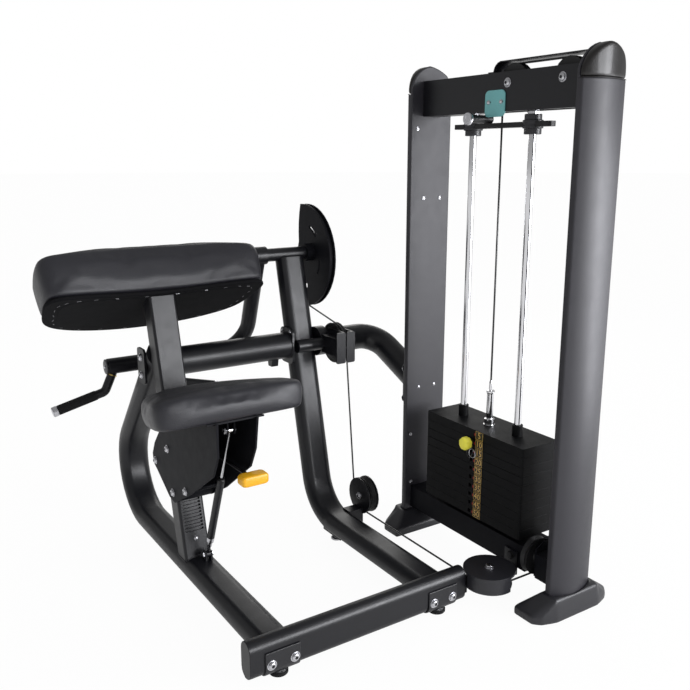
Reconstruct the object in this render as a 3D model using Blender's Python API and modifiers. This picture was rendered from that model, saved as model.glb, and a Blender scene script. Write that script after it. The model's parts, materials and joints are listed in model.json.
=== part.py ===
"""A biceps curl machine: a seat frame with a sloped arm pad, a cam that turns with the curl arm, and a
weight tower that the steel cable joins to it.

Units are metres. +Z is up, X points to the seated user's right and Y to the user's front. The origin
lies on the floor, under the foot of the crossbar in the plane of the seat.
"""

import math
from dataclasses import dataclass

import bmesh
import bpy
from mathutils import Matrix, Vector


@dataclass(frozen=True)
class CushionForm:
    """The plan and section of one cushion. The near side is the one with lower Y."""

    half_wide: float
    half_deep: float
    thick: float
    crown: float
    taper: float
    bow: float
    near_power: float
    far_power: float
    draw_in: float


# Clearances
GAP = 0.0003
SLIDE_GAP = 0.0006
REACH = 0.02
WALL_SINK = 0.002
WELD = 0.00001

# Facets
ROUND = 24
SMALL_ROUND = 12
CORNER_STEPS = 4
CROWN_STEPS = 6

# Seat frame tubes
SPINE_X = 0.0
SIDE_X = 0.505
TUBE_WIDE = 0.100
TUBE_THICK = 0.060
TUBE_FLOOR_Z = 0.065
CROSSBAR_THICK = 0.050
CROSSBAR_TALL = 0.100
CROSSBAR_Z = 0.064
CROSSBAR_LEFT = -0.089
CROSSBAR_RIGHT = 0.590
END_CAP_ROUND = 0.003
PLUG_THICK = 0.006
SADDLE_WALL = 0.004
SADDLE_TOP = 0.082
SADDLE_BOLT_SPACING = 0.065
SADDLE_BOLT_Z = 0.047
BOLT_HEAD_RADIUS = 0.0095
BOLT_HEAD_TALL = 0.005
FOOT_RADIUS = 0.022

# Spine, which sweeps up behind the user's knees to the back of the main post
SPINE_CORNER_Y = 1.254
SPINE_LEAN = math.radians(42.4)
SPINE_BEND = 0.165
SPINE_TOP_Z = 0.699
BEND_STEPS = 12

# Main post with the slots that the seat locks in
POST_WIDE = 0.080
POST_DEEP = 0.062
POST_LEAN = math.radians(13.87)
POST_FLOOR_Y = 0.500
POST_FOOT_Z = 0.070
POST_ROUND = 0.008
SLOT_COUNT = 30
SLOT_PITCH = 0.010
SLOT_TALL = 0.006
SLOT_WIDE = 0.056
SLOT_DEEP = 0.008
SLOT_FIRST = 0.170

# Pivot of the curl arm, and the side tube that carries it
PIVOT_Y = 0.820
PIVOT_Z = 0.925
SHAFT_RADIUS = 0.0145
BEARING_RADIUS = 0.022
BEARING_LEFT = 0.4156
BEARING_RIGHT = 0.5635
SIDE_LEAN = math.radians(12.9)
SIDE_BEND = 0.150
SIDE_TOP_Z = 0.912

# Heel foot under the side tube
HEEL_FRONT_Y = 0.470
HEEL_BACK_Y = 0.575
HEEL_BOTTOM = 0.018
HEEL_SCREW_RADIUS = 0.006
HEEL_PAD_TALL = 0.006
HEEL_PAD_RADIUS = 0.018

# Cross tube between the spine and the side tube
CROSS_Y = 0.740
CROSS_Z = 0.630
CROSS_RADIUS = 0.044
CROSS_FLANGE = 0.008
CROSS_FLANGE_DEEP = 0.084
CROSS_FLANGE_TALL = 0.120
CLAMP_PLATE_DEEP = 0.060
CLAMP_PLATE_TALL = 0.110
CLAMP_PLATE_THICK = 0.005
LINK_Y = 0.720
LINK_POST_Z = 0.500
LINK_BEND = 0.085
LINK_FLANGE = 0.008

# Cable line and pulleys
CABLE_RADIUS = 0.003
CABLE_X = 0.606
CABLE_FLOOR_Z = 0.080
PULLEY_THICK = 0.022
GROOVE_CLEAR = 0.0014
AXLE_RADIUS = 0.008
GUIDE_PULLEY_Y = 0.685
GUIDE_PULLEY_RADIUS = 0.066
FLOOR_PULLEY_Y = 0.510
FLOOR_PULLEY_RADIUS = 0.058
CORNER_PULLEY_Y = -0.038
CORNER_PULLEY_RADIUS = 0.060
CORNER_BASE_LOW = 0.054
CORNER_BASE_THICK = 0.007
CORNER_PLATE_RADIUS = 0.066
CORNER_COVER_RADIUS = 0.075
CORNER_COVER_THICK = 0.007
CORNER_CLEAR = 0.004
TONGUE_WIDE = 0.050
LUG_RISE = 0.050
TOWER_PULLEY_X = 0.790
TOWER_PULLEY_RADIUS = 0.052
TOP_PULLEY_RADIUS = 0.050
TOP_PULLEY_DROP = 0.029
TOP_PULLEY_NEAR_Y = -0.094
CHEEK_CLEAR = 0.003
CHEEK_THICK = 0.005
CABLE_SLIM = 0.0002
CABLE_JOINT_DROP = 0.010
CABLE_HINGE_GAP = 0.0015
GUIDE_HUB_RADIUS = 0.050
GUIDE_CHEEK_WIDE = 0.032
GUIDE_FRONT_CLEAR = 0.016
GUIDE_TALL = 0.104
GUIDE_LEFT = 0.556
NECK_RADIUS = 0.021
NECK_Y = 0.700
GUIDE_WALL = 0.006

# Cam
CAM_Y = 0.873
CAM_Z = 0.909
CAM_RADIUS = 0.177
CAM_CABLE_RADIUS = 0.1715
CAM_WAIST = 0.082
CAM_PLATE = 0.008
CAM_GROOVE = 0.011
CAM_RIM = 0.005
CAM_RIM_DEEP = 0.022
CAM_TOP = math.radians(85)
CAM_END = math.radians(291)
CAM_STEPS = 24
CAM_TRIM = 0.006
CAM_SLOT_RADIUS = 0.111
CAM_SLOTS = (112, 141), (184, 210)
CAM_HUB_RADIUS = 0.030
CAM_SLOT_WIDE = 0.010

# Curl arm and grips
ARM_RADIUS = 0.026
ARM_X = 0.389
ARM_Y = 0.940
ARM_Z = 0.590
ARM_BEND = 0.105
ARM_LEFT = -0.098
ARM_HUB_RADIUS = 0.030
ARM_HUB_WIDE = 0.0524
GRIP_RADIUS = 0.0145
GRIP_ROOT_X = 0.074
GRIP_BEND_X = 0.112
GRIP_BEND_Z = 0.509
GRIP_END_X = 0.278
GRIP_END_Z = 0.468
GRIP_FILLET = 0.022
GRIP_CAP_TALL = 0.012

# Arm pad and its board, on the line from the near edge to the far edge of the board
PAD_NEAR_Y = 0.615
PAD_NEAR_Z = 0.885
PAD_SLOPE = math.radians(29.75)
PAD_MIDDLE = 0.108
PAD_BOARD = 0.012
PAD_BOARD_SHARE = 0.955
PAD_FORM = CushionForm(
    half_wide=0.366, half_deep=0.157, thick=0.118, crown=0.030, taper=0.11, bow=0.090,
    near_power=5.0, far_power=5.0, draw_in=0.03,
)

# Seat
SEAT_REAR_Y = 0.178
SEAT_REAR_Z = 0.608
SEAT_DEEP = 0.365
SEAT_FORM = CushionForm(
    half_wide=0.216, half_deep=SEAT_DEEP / 2, thick=0.078, crown=0.010, taper=0.34, bow=0.0,
    near_power=9.0, far_power=4.0, draw_in=0.06,
)
CUSHION_CUTS = 4
CUSHION_EDGE = 0.55
CUSHION_TOP_IN = 0.03

# Seat carriage, its release lever and the gas spring
CARRIAGE_HALF = 0.056
CARRIAGE_PLATE = 0.006
CARRIAGE_TOP = 0.005
GRIP_RELIEF = 0.014
FRONT_ROLLER_RADIUS = 0.029
BACK_ROLLER_RADIUS = 0.0225
LOW_ROLLER_Z = 0.304
BACK_ROLLER_Z = 0.360
LEVER_Y = 0.542
LEVER_Z = 0.428
LEVER_PIN_RADIUS = 0.006
LEVER_HUB_RADIUS = 0.012
LEVER_X = 0.038
LEVER_ROD_RADIUS = 0.005
LEVER_GRIP_Y = 0.168
LEVER_GRIP_Z = 0.425
LEVER_GRIP_LEFT = 0.0
LEVER_GRIP_LONG = 0.076
LEVER_GRIP_DEEP = 0.040
LEVER_GRIP_TALL = 0.028
PAWL_SLOT = 20
PAWL_THICK = 0.004
PAWL_CLEAR = 0.0008
SPRING_X = 0.017
SPRING_FOOT_Y = 0.460
SPRING_FOOT_Z = 0.112
SPRING_HEAD_Y = 0.275
SPRING_HEAD_Z = 0.549
SPRING_BODY_RADIUS = 0.011
SPRING_BODY_END = 0.300
SPRING_NECK_END = 0.055
SPRING_NECK_RADIUS = 0.0055
SPRING_ROD_RADIUS = 0.004
SPRING_ROD_START = 0.205
SPRING_BORE_START = 0.120
SPRING_EYE_RADIUS = 0.010
SPRING_EYE_WIDE = 0.012
SPRING_PIN_RADIUS = 0.004
FORK_WALL = 0.005

# Tower
TOWER_X = 0.822
POST_FACE_NEAR = -0.1785
POST_FACE_FAR = 0.4620
TOWER_POST_WIDE = 0.158
TOWER_POST_SIDE = 0.018
TOWER_POST_CREST = 0.045
TOWER_CREASE = 0.43
TOWER_POST_ROUND = 0.006
TOWER_WALL = 0.008
CAP_TOP_Z = 1.515
CAP_TALL = 0.085
CAP_SHOULDER_DROP = 0.025
CAP_SIDE_RISE = 0.022
CAP_SIDE_ROUND = 0.004
CAP_CROWN_ROUND = 0.013
BOOT_WIDE = 0.297
BOOT_STEP = 0.025
BOOT_TOP = 0.068
BOOT_INNER = 0.048
BOOT_OUTER = 0.0565
BEAM_WIDE = 0.068
BEAM_DROP = 0.046
BEAM_TALL = 0.104
BEAM_WALL = 0.004
BEAM_SLOT_WIDE = 0.036
GUARD_WALL = 0.003
TRAY_WIDE = 0.110
TRAY_LOW = 0.075
TRAY_TALL = 0.075
TRAY_WALL = 0.004
POST_BOTTOM = 0.004
BOOT_LIP = 0.006
GUARD_TALL = 0.0295
GUARD_HALF = 0.030
PLATE_DROP = 0.046
PLATE_TALL = 0.071
PLATE_MIDDLE_Y = 0.143
PLATE_WIDE = 0.078

# Weight stack
STACK_Y = 0.150
STACK_LONG = 0.425
STACK_WIDE = 0.140
STACK_BASE = 0.170
PLATE_PITCH = 0.0278
PLATE_COUNT = 9
ROD_RADIUS = 0.010
ROD_SPACING = 0.236
SLEEVE_WALL = 0.0055
SLEEVE_TALL = 0.034
STEM_RADIUS = 0.012
STEM_TOP = 0.520
PIN_RADIUS = 0.0045
PIN_KNOB_RADIUS = 0.020
YOKE_DROP = 0.035
YOKE_THICK = 0.014
YOKE_WIDE = 0.030
COLLAR_RADIUS = 0.0225
COLLAR_TALL = 0.052
YOKE_BOLT_RADIUS = 0.0115
YOKE_HEAD_RADIUS = 0.016
YOKE_BOLT_LEFT = 0.740
YOKE_BOLT_OFFSET = 0.045
CABLE_HOLE = 0.007
PIN_PLAY = 0.001
PLATE_PLAY = 0.0015
BUFFER_WIDE = 0.063
BUFFER_REACH = 0.035

# Worked out from the sizes above
CORNER_PULLEY_X = CABLE_X + CORNER_PULLEY_RADIUS
GUIDE_PULLEY_Z = CROSS_Z
FLOOR_PULLEY_Z = CABLE_FLOOR_Z + FLOOR_PULLEY_RADIUS
TOWER_PULLEY_Y = CORNER_PULLEY_Y - CORNER_PULLEY_RADIUS
TOWER_PULLEY_Z = CABLE_FLOOR_Z + TOWER_PULLEY_RADIUS
TOP_PULLEY_FAR_Y = STACK_Y - TOP_PULLEY_RADIUS
CAM_LEFT = CABLE_X - CAM_GROOVE / 2 - CAM_PLATE
STACK_TOP = STACK_BASE + PLATE_COUNT * PLATE_PITCH
CAP_SEAM_Z = CAP_TOP_Z - CAP_TALL
CAP_SHOULDER_Z = CAP_TOP_Z - CAP_SHOULDER_DROP
BEAM_TOP = CAP_TOP_Z - BEAM_DROP
BEAM_LOW = BEAM_TOP - BEAM_TALL
GUARD_TOP_Z = BEAM_TOP + GUARD_TALL
TOP_PULLEY_Z = BEAM_TOP - TOP_PULLEY_DROP
CABLE_JOINT_Z = TOP_PULLEY_Z - CABLE_JOINT_DROP
PLATE_TOP_Z = BEAM_TOP - PLATE_DROP
PLATE_LOW_Z = PLATE_TOP_Z - PLATE_TALL
YOKE_Z = BEAM_LOW - YOKE_DROP
TRAY_TOP = TRAY_LOW + TRAY_TALL

POST_AXIS = Vector((0, math.sin(POST_LEAN), math.cos(POST_LEAN)))
POST_OUT = Vector((0, math.cos(POST_LEAN), -math.sin(POST_LEAN)))
PAD_ALONG = Vector((0, math.cos(PAD_SLOPE), -math.sin(PAD_SLOPE)))
PAD_UP = Vector((0, math.sin(PAD_SLOPE), math.cos(PAD_SLOPE)))
PAD_NEAR = Vector((0, PAD_NEAR_Y, PAD_NEAR_Z))
SEAT_REAR = Vector((0, SEAT_REAR_Y, SEAT_REAR_Z))
PIVOT = Vector((0, PIVOT_Y, PIVOT_Z))
SPRING_FOOT = Vector((SPRING_X, SPRING_FOOT_Y, SPRING_FOOT_Z))
SPRING_HEAD = Vector((SPRING_X, SPRING_HEAD_Y, SPRING_HEAD_Z))

# Finishes: colour, roughness, metallic
BLACK_PAINT = (0.022, 0.022, 0.025), 0.42, 0.3
GRAPHITE_PAINT = (0.075, 0.073, 0.082), 0.45, 0.4
MOULDED_BLACK = (0.02, 0.02, 0.021), 0.35, 0.0
NYLON = (0.03, 0.03, 0.03), 0.5, 0.0
CHROME = (0.75, 0.75, 0.77), 0.12, 1.0
STEEL = (0.6, 0.6, 0.62), 0.3, 1.0
ZINC = (0.62, 0.66, 0.66), 0.35, 1.0
LEATHER = (0.03, 0.03, 0.034), 0.5, 0.0
BOARD = (0.02, 0.02, 0.02), 0.8, 0.0
RUBBER = (0.02, 0.02, 0.02), 0.8, 0.0
YELLOW = (0.85, 0.5, 0.02), 0.4, 0.0
CAST_IRON = (0.025, 0.025, 0.027), 0.55, 0.5


# Scene and materials


def clear_scene():
    for obj in list(bpy.data.objects):
        bpy.data.objects.remove(obj)


def new_collection(name):
    made = bpy.data.collections.new(name)
    bpy.context.scene.collection.children.link(made)
    return made


def dress(obj, finish):
    colour, roughness, metallic = finish
    material = bpy.data.materials.new(obj.name)
    material.use_nodes = True
    shader = material.node_tree.nodes["Principled BSDF"]
    shader.inputs["Base Color"].default_value = (*colour, 1)
    shader.inputs["Roughness"].default_value = roughness
    shader.inputs["Metallic"].default_value = metallic
    obj.data.materials.clear()
    obj.data.materials.append(material)


def keep(obj, name, finish, pivot=None):
    """Puts a finished piece in the machine's collection, under its name and on its pivot."""
    obj.name = name
    MACHINE.objects.link(obj)
    dress(obj, finish)
    if obj.type == "MESH":
        obj.data.shade_smooth()
        obj.data.set_sharp_from_angle(angle=math.radians(35))
    if pivot:
        bpy.context.view_layer.update()
        obj.parent = pivot
        obj.matrix_parent_inverse = pivot.matrix_world.inverted()
    return obj


def pivot_at(name, place, parent=None):
    empty = bpy.data.objects.new(name, None)
    MACHINE.objects.link(empty)
    empty.location = place
    if parent:
        bpy.context.view_layer.update()
        empty.parent = parent
        empty.matrix_parent_inverse = parent.matrix_world.inverted()
    bpy.context.view_layer.update()
    return empty


# Shapes


def box(low, high):
    low, high = Vector(low), Vector(high)
    shape = bmesh.new()
    bmesh.ops.create_cube(shape, size=1)
    bmesh.ops.scale(shape, vec=high - low, verts=shape.verts)
    bmesh.ops.translate(shape, vec=(low + high) / 2, verts=shape.verts)
    return mesh_object(shape)


def mesh_object(shape):
    mesh = bpy.data.meshes.new("mesh")
    shape.to_mesh(mesh)
    shape.free()
    return bpy.data.objects.new("piece", mesh)


def rod(start, end, radius, sides=ROUND, end_radius=None):
    start, end = Vector(start), Vector(end)
    line = end - start
    shape = bmesh.new()
    bmesh.ops.create_cone(
        shape,
        cap_ends=True,
        segments=sides,
        radius1=radius,
        radius2=radius if end_radius is None else end_radius,
        depth=line.length,
    )
    turn = line.to_track_quat("Z", "Y").to_matrix().to_4x4()
    bmesh.ops.transform(shape, matrix=Matrix.Translation((start + end) / 2) @ turn, verts=shape.verts)
    return mesh_object(shape)


def circle(centre, radius, sides=ROUND):
    return arc(centre, radius, 0, 2 * math.pi * (1 - 1 / sides), sides - 1)


def arc(centre, radius, start, end, steps):
    return [
        (
            centre[0] + radius * math.cos(start + (end - start) * i / steps),
            centre[1] + radius * math.sin(start + (end - start) * i / steps),
        )
        for i in range(steps + 1)
    ]


def bulged(start, end, rise, steps=CORNER_STEPS):
    """The points after start along an arc that rises to the left of the line from start to end."""
    start, end = Vector(start), Vector(end)
    line = end - start
    side = Vector((-line.y, line.x)).normalized()
    points = []
    for i in range(1, steps + 1):
        share = i / steps
        points.append(tuple(start + line * share + side * rise * 4 * share * (1 - share)))
    return points


def rounded_box(wide, tall, radius, centre=(0, 0), steps=CORNER_STEPS):
    x, y = wide / 2 - radius, tall / 2 - radius
    quarter = math.pi / 2
    points = []
    for i, (sx, sy) in enumerate(((1, 1), (-1, 1), (-1, -1), (1, -1))):
        middle = (centre[0] + sx * x, centre[1] + sy * y)
        points += arc(middle, radius, i * quarter, (i + 1) * quarter, steps)
    return points


def stadium(wide, thick, steps=8):
    """A flat-oval section, its long side along the first axis."""
    radius = thick / 2
    reach = wide / 2 - radius
    half = math.pi / 2
    return arc((reach, 0), radius, -half, half, steps) + arc((-reach, 0), radius, half, 3 * half, steps)


ALONG_X = Matrix(((0, 0, 1, 0), (1, 0, 0, 0), (0, 1, 0, 0), (0, 0, 0, 1)))
ALONG_Y = Matrix(((1, 0, 0, 0), (0, 0, -1, 0), (0, 1, 0, 0), (0, 0, 0, 1)))
ALONG_Z = Matrix.Identity(4)


def spline(curve, points, closed):
    made = curve.splines.new("POLY")
    made.points.add(len(points) - 1)
    for point, place in zip(made.points, points):
        point.co = (*place, *([0] * (3 - len(place))), 1)
    made.use_cyclic_u = closed
    return made


def slab(outline, low, high, facing=ALONG_Z, holes=()):
    """A flat outline, given thickness from low to high along its facing axis. Outlines that face X are
    (y, z) pairs, those that face Y are (x, z) pairs and those that face Z are (x, y) pairs."""
    curve = bpy.data.curves.new("outline", "CURVE")
    curve.dimensions = "2D"
    curve.fill_mode = "BOTH"
    curve.extrude = (high - low) / 2
    spline(curve, outline, True)
    for hole in holes:
        spline(curve, hole, True)
    obj = bpy.data.objects.new("outline", curve)
    middle = (low + high) / 2
    if facing is ALONG_Y:
        middle = -middle
    obj.matrix_world = facing @ Matrix.Translation((0, 0, middle))
    return as_mesh(obj)


def as_mesh(curve_object):
    """The same shape as a mesh with its caps welded on."""
    bpy.context.scene.collection.objects.link(curve_object)
    bpy.context.view_layer.update()
    graph = bpy.context.evaluated_depsgraph_get()
    mesh = bpy.data.meshes.new_from_object(curve_object.evaluated_get(graph))
    obj = bpy.data.objects.new("piece", mesh)
    obj.matrix_world = curve_object.matrix_world
    bpy.data.objects.remove(curve_object)
    shape = bmesh.new()
    shape.from_mesh(mesh)
    bmesh.ops.remove_doubles(shape, verts=shape.verts, dist=WELD)
    bmesh.ops.recalc_face_normals(shape, faces=shape.faces)
    shape.to_mesh(mesh)
    shape.free()
    return obj


def bent(points, radius, steps=BEND_STEPS):
    """The points of a path with each inner corner rounded to the radius."""
    points = [Vector(point) for point in points]
    path = [points[0]]
    for before, corner, after in zip(points, points[1:], points[2:]):
        back, on = (before - corner).normalized(), (after - corner).normalized()
        half = back.angle(on) / 2
        centre = corner + (back + on).normalized() * radius / math.sin(half)
        start = corner + back * radius / math.tan(half) - centre
        turn = back.cross(on)
        sweep = math.pi - 2 * half
        for i in range(steps + 1):
            path.append(centre + Matrix.Rotation(-sweep * i / steps, 3, turn) @ start)
    path.append(points[-1])
    return path


def tube(path, radius, sides=2):
    """A round tube as a curve with filled caps."""
    curve = bpy.data.curves.new("tube", "CURVE")
    curve.dimensions = "3D"
    curve.bevel_depth = radius
    curve.bevel_resolution = sides
    curve.use_fill_caps = True
    spline(curve, [tuple(point) for point in path], False)
    return bpy.data.objects.new("tube", curve)


def section_tube(path, outline):
    """A tube of the given section, its first axis along X, as a mesh."""
    section = bpy.data.curves.new("section", "CURVE")
    section.dimensions = "2D"
    spline(section, outline, True)
    guide = bpy.data.objects.new("section", section)
    TOOLS.objects.link(guide)
    curve = bpy.data.curves.new("tube", "CURVE")
    curve.dimensions = "3D"
    curve.bevel_mode = "OBJECT"
    curve.bevel_object = guide
    curve.use_fill_caps = True
    spline(curve, [tuple(point) for point in path], False)
    made = as_mesh(bpy.data.objects.new("tube", curve))
    bpy.data.objects.remove(guide)
    return made


def turned(profile, place, facing=ALONG_Z, sides=ROUND, bored=True):
    """A turned piece. The (radius, height) pairs run down the outer side, then back up the bore if there
    is one, else from the axis to the axis."""
    mesh = bpy.data.meshes.new("profile")
    count = len(profile)
    edges = [(i, (i + 1) % count) for i in range(count if bored else count - 1)]
    mesh.from_pydata([(radius, 0, height) for radius, height in profile], edges, [])
    obj = bpy.data.objects.new("turned", mesh)
    screw = obj.modifiers.new("turn", "SCREW")
    screw.axis = "Z"
    screw.steps = sides
    screw.render_steps = sides
    screw.use_merge_vertices = True
    screw.merge_threshold = WELD
    obj.matrix_world = Matrix.Translation(place) @ facing
    return obj


def work(target, tool, operation):
    """Cuts the tool from the target, or joins it on, with a Boolean that stays on the target."""
    modifier = target.modifiers.new(operation.lower(), "BOOLEAN")
    modifier.operation = operation
    modifier.solver = "EXACT"
    modifier.object = tool
    TOOLS.objects.link(tool)
    tool.hide_render = True
    tool.display_type = "WIRE"
    tool.parent = target
    tool.matrix_parent_inverse = target.matrix_basis.inverted()
    return target


def cut(target, *tools):
    for tool in tools:
        work(target, tool, "DIFFERENCE")
    return target


def join(target, *tools):
    for tool in tools:
        work(target, tool, "UNION")
    return target


def in_plan(a, b, form):
    """A point of a unit square, moved to its place in a cushion's plan."""
    ring = max(abs(a), abs(b))
    if ring > 0:
        power = form.near_power if b < 0 else form.far_power
        shrink = ring / (abs(a) ** power + abs(b) ** power) ** (1 / power)
        a, b = a * shrink, b * shrink
    half = form.half_wide * (1 - form.taper * (b + 1) / 2)
    return a * half, b * form.half_deep + form.bow * (1 - a * a)


def cushion(form, frame):
    """A padded form from a coarse cage: a crowned top, sides that draw in to the board, soft corners."""
    shape = bmesh.new()
    bmesh.ops.create_cube(shape, size=2)
    bmesh.ops.subdivide_edges(shape, edges=shape.edges, cuts=CUSHION_CUTS, use_grid_fill=True)
    for vert in shape.verts:
        a, b, c = (math.copysign(abs(value) ** CUSHION_EDGE, value) for value in vert.co)
        edge = 1 - form.draw_in * ((1 - c) / 2) ** 2 - CUSHION_TOP_IN * max(c, 0) ** 3
        x, y = in_plan(a * edge, b * edge, form)
        lift = form.crown * (1 - a * a) * (1 - b * b / 2) if c > 0 else 0
        vert.co = (x, y, form.thick * (c + 1) / 2 + lift * max(c, 0))
    obj = mesh_object(shape)
    soften = obj.modifiers.new("soften", "SUBSURF")
    soften.levels = 1
    soften.render_levels = 1
    obj.matrix_world = frame
    return obj


def slope_frame(origin, along, up):
    """A frame with X kept, Y along a slope and Z square to it."""
    made = Matrix.Identity(4)
    made.col[0][:3] = (1, 0, 0)
    made.col[1][:3] = along
    made.col[2][:3] = up
    made.col[3][:3] = origin
    return made


# Frame members


def post_front_y(z):
    return POST_FLOOR_Y - POST_DEEP / 2 / math.cos(POST_LEAN) + math.tan(POST_LEAN) * z


def post_back_y(z):
    return POST_FLOOR_Y + POST_DEEP / 2 / math.cos(POST_LEAN) + math.tan(POST_LEAN) * z


def post_frame(z=0.0):
    """The main post's own frame, with its origin on the post's axis at this height."""
    origin = (SPINE_X, POST_FLOOR_Y + math.tan(POST_LEAN) * z, z)
    return slope_frame(origin, POST_OUT, POST_AXIS)


def side_path(extra=0.0):
    corner_y = PIVOT_Y - math.tan(SIDE_LEAN) * (PIVOT_Z - TUBE_FLOOR_Z)
    top_y = PIVOT_Y - math.tan(SIDE_LEAN) * (PIVOT_Z - SIDE_TOP_Z)
    start = (SIDE_X, CROSSBAR_THICK / 2 + GAP - extra, TUBE_FLOOR_Z)
    return bent([start, (SIDE_X, corner_y, TUBE_FLOOR_Z), (SIDE_X, top_y, SIDE_TOP_Z)], SIDE_BEND)


def spine_path():
    rise = SPINE_TOP_Z - TUBE_FLOOR_Z
    start = (SPINE_X, CROSSBAR_THICK / 2 + GAP, TUBE_FLOOR_Z)
    corner = (SPINE_X, SPINE_CORNER_Y, TUBE_FLOOR_Z)
    top = (SPINE_X, SPINE_CORNER_Y - math.tan(SPINE_LEAN) * rise, SPINE_TOP_Z)
    return bent([start, corner, top], SPINE_BEND)


def make_crossbar():
    """The floor bar under the user's back, with its ends closed by plugs."""
    outline = [(y, CROSSBAR_Z + z) for z, y in stadium(CROSSBAR_TALL, CROSSBAR_THICK)]
    bar = slab(outline, CROSSBAR_LEFT, CROSSBAR_RIGHT, ALONG_X)
    bevel = bar.modifiers.new("round", "BEVEL")
    bevel.width = END_CAP_ROUND
    bevel.segments = 2
    bevel.limit_method = "ANGLE"
    bevel.angle_limit = math.radians(60)
    keep(bar, "crossbar", BLACK_PAINT)


def make_saddle(name, x):
    """The clamp plate that wraps the crossbar's front and underside, with its two bolts and its foot."""
    inner = CROSSBAR_THICK / 2 + GAP
    outer = inner + SADDLE_WALL
    low = CROSSBAR_Z - CROSSBAR_TALL / 2 + CROSSBAR_THICK / 2
    outside = arc((0, low), outer, -math.pi, -math.pi / 2, 2 * CORNER_STEPS)
    inside = arc((0, low), inner, -math.pi / 2, -math.pi, 2 * CORNER_STEPS)
    outline = [(-outer, SADDLE_TOP)] + outside + inside + [(-inner, SADDLE_TOP)]
    plate = slab(outline, x - TUBE_WIDE / 2, x + TUBE_WIDE / 2, ALONG_X)
    foot_top = low - outer + SADDLE_WALL / 2
    join(plate, rod((x, 0, 0), (x, 0, foot_top), FOOT_RADIUS))
    for side in (-1, 1):
        bolt_x = x + side * SADDLE_BOLT_SPACING / 2
        start = (bolt_x, -inner - SADDLE_WALL / 2, SADDLE_BOLT_Z)
        end = (bolt_x, -outer - BOLT_HEAD_TALL, SADDLE_BOLT_Z)
        join(plate, rod(start, end, BOLT_HEAD_RADIUS, SMALL_ROUND, BOLT_HEAD_RADIUS * 0.7))
    keep(plate, name, GRAPHITE_PAINT)


def make_spine():
    spine = section_tube(spine_path(), stadium(TUBE_WIDE, TUBE_THICK))
    envelope = box((-TUBE_WIDE, -POST_DEEP * 2, 0), (TUBE_WIDE, POST_DEEP / 2 + GAP, PAD_NEAR_Z))
    envelope.matrix_world = post_frame(CROSSBAR_TALL * 2)
    cut(spine, envelope)
    low = TUBE_FLOOR_Z + TUBE_THICK / 2 - REACH / 2
    for side in (-1, 1):
        inner = SPRING_X + side * (SPRING_EYE_WIDE / 2 + GAP)
        outer = inner + side * FORK_WALL
        reach = SPRING_EYE_RADIUS
        cheek = box(
            (min(inner, outer), SPRING_FOOT_Y - reach, low),
            (max(inner, outer), SPRING_FOOT_Y + reach, SPRING_FOOT_Z + reach),
        )
        join(spine, cheek)
    half = SPRING_EYE_WIDE / 2 + FORK_WALL
    pin_start = SPRING_FOOT - Vector((half + BOLT_HEAD_TALL / 2, 0, 0))
    pin_end = SPRING_FOOT + Vector((half + BOLT_HEAD_TALL / 2, 0, 0))
    join(spine, rod(pin_start, pin_end, SPRING_PIN_RADIUS, SMALL_ROUND))
    add_clamp_plate(spine)
    keep(spine, "spine_tube", BLACK_PAINT)


def add_clamp_plate(spine):
    """The plate on the spine's left side that the cross tube's bolts pull on."""
    face = SPINE_X - TUBE_WIDE / 2
    left = face - CLAMP_PLATE_THICK
    outline = rounded_box(CLAMP_PLATE_DEEP, CLAMP_PLATE_TALL, 0.012, (CROSS_Y, CROSS_Z))
    join(spine, slab(outline, left, face + WALL_SINK, ALONG_X))
    for z in (CROSS_Z - CLAMP_PLATE_TALL / 4, CROSS_Z + CLAMP_PLATE_TALL / 4):
        start = (face - CLAMP_PLATE_THICK / 2, CROSS_Y, z)
        end = (left - BOLT_HEAD_TALL, CROSS_Y, z)
        join(spine, rod(start, end, BOLT_HEAD_RADIUS, SMALL_ROUND, BOLT_HEAD_RADIUS * 0.7))


def make_main_post():
    outline = rounded_box(POST_WIDE, POST_DEEP, POST_ROUND)
    post = slab(outline, 0, PAD_NEAR_Z)
    post.matrix_world = post_frame(POST_FOOT_Z) @ post.matrix_world
    floor_tube = [(x, TUBE_FLOOR_Z + z) for x, z in stadium(TUBE_WIDE + 2 * GAP, TUBE_THICK + 2 * GAP)]
    cut(post, slab(floor_tube, 0, POST_FLOOR_Y * 2, ALONG_Y))
    reach = 3 * PAD_FORM.half_deep
    above = box((-POST_WIDE, -reach, -GAP), (POST_WIDE, reach, PAD_NEAR_Z))
    above.matrix_world = pad_frame()
    cut(post, above)
    for i in range(SLOT_COUNT):
        cut(post, slot_cutter(i))
    keep(post, "main_post", BLACK_PAINT)


def slot_cutter(i):
    middle = SLOT_FIRST + i * SLOT_PITCH
    front = -POST_DEEP / 2
    tool = box(
        (-SLOT_WIDE / 2, front - SLOT_DEEP, middle - SLOT_TALL / 2),
        (SLOT_WIDE / 2, front + SLOT_DEEP, middle + SLOT_TALL / 2),
    )
    tool.matrix_world = post_frame()
    return tool


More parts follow.
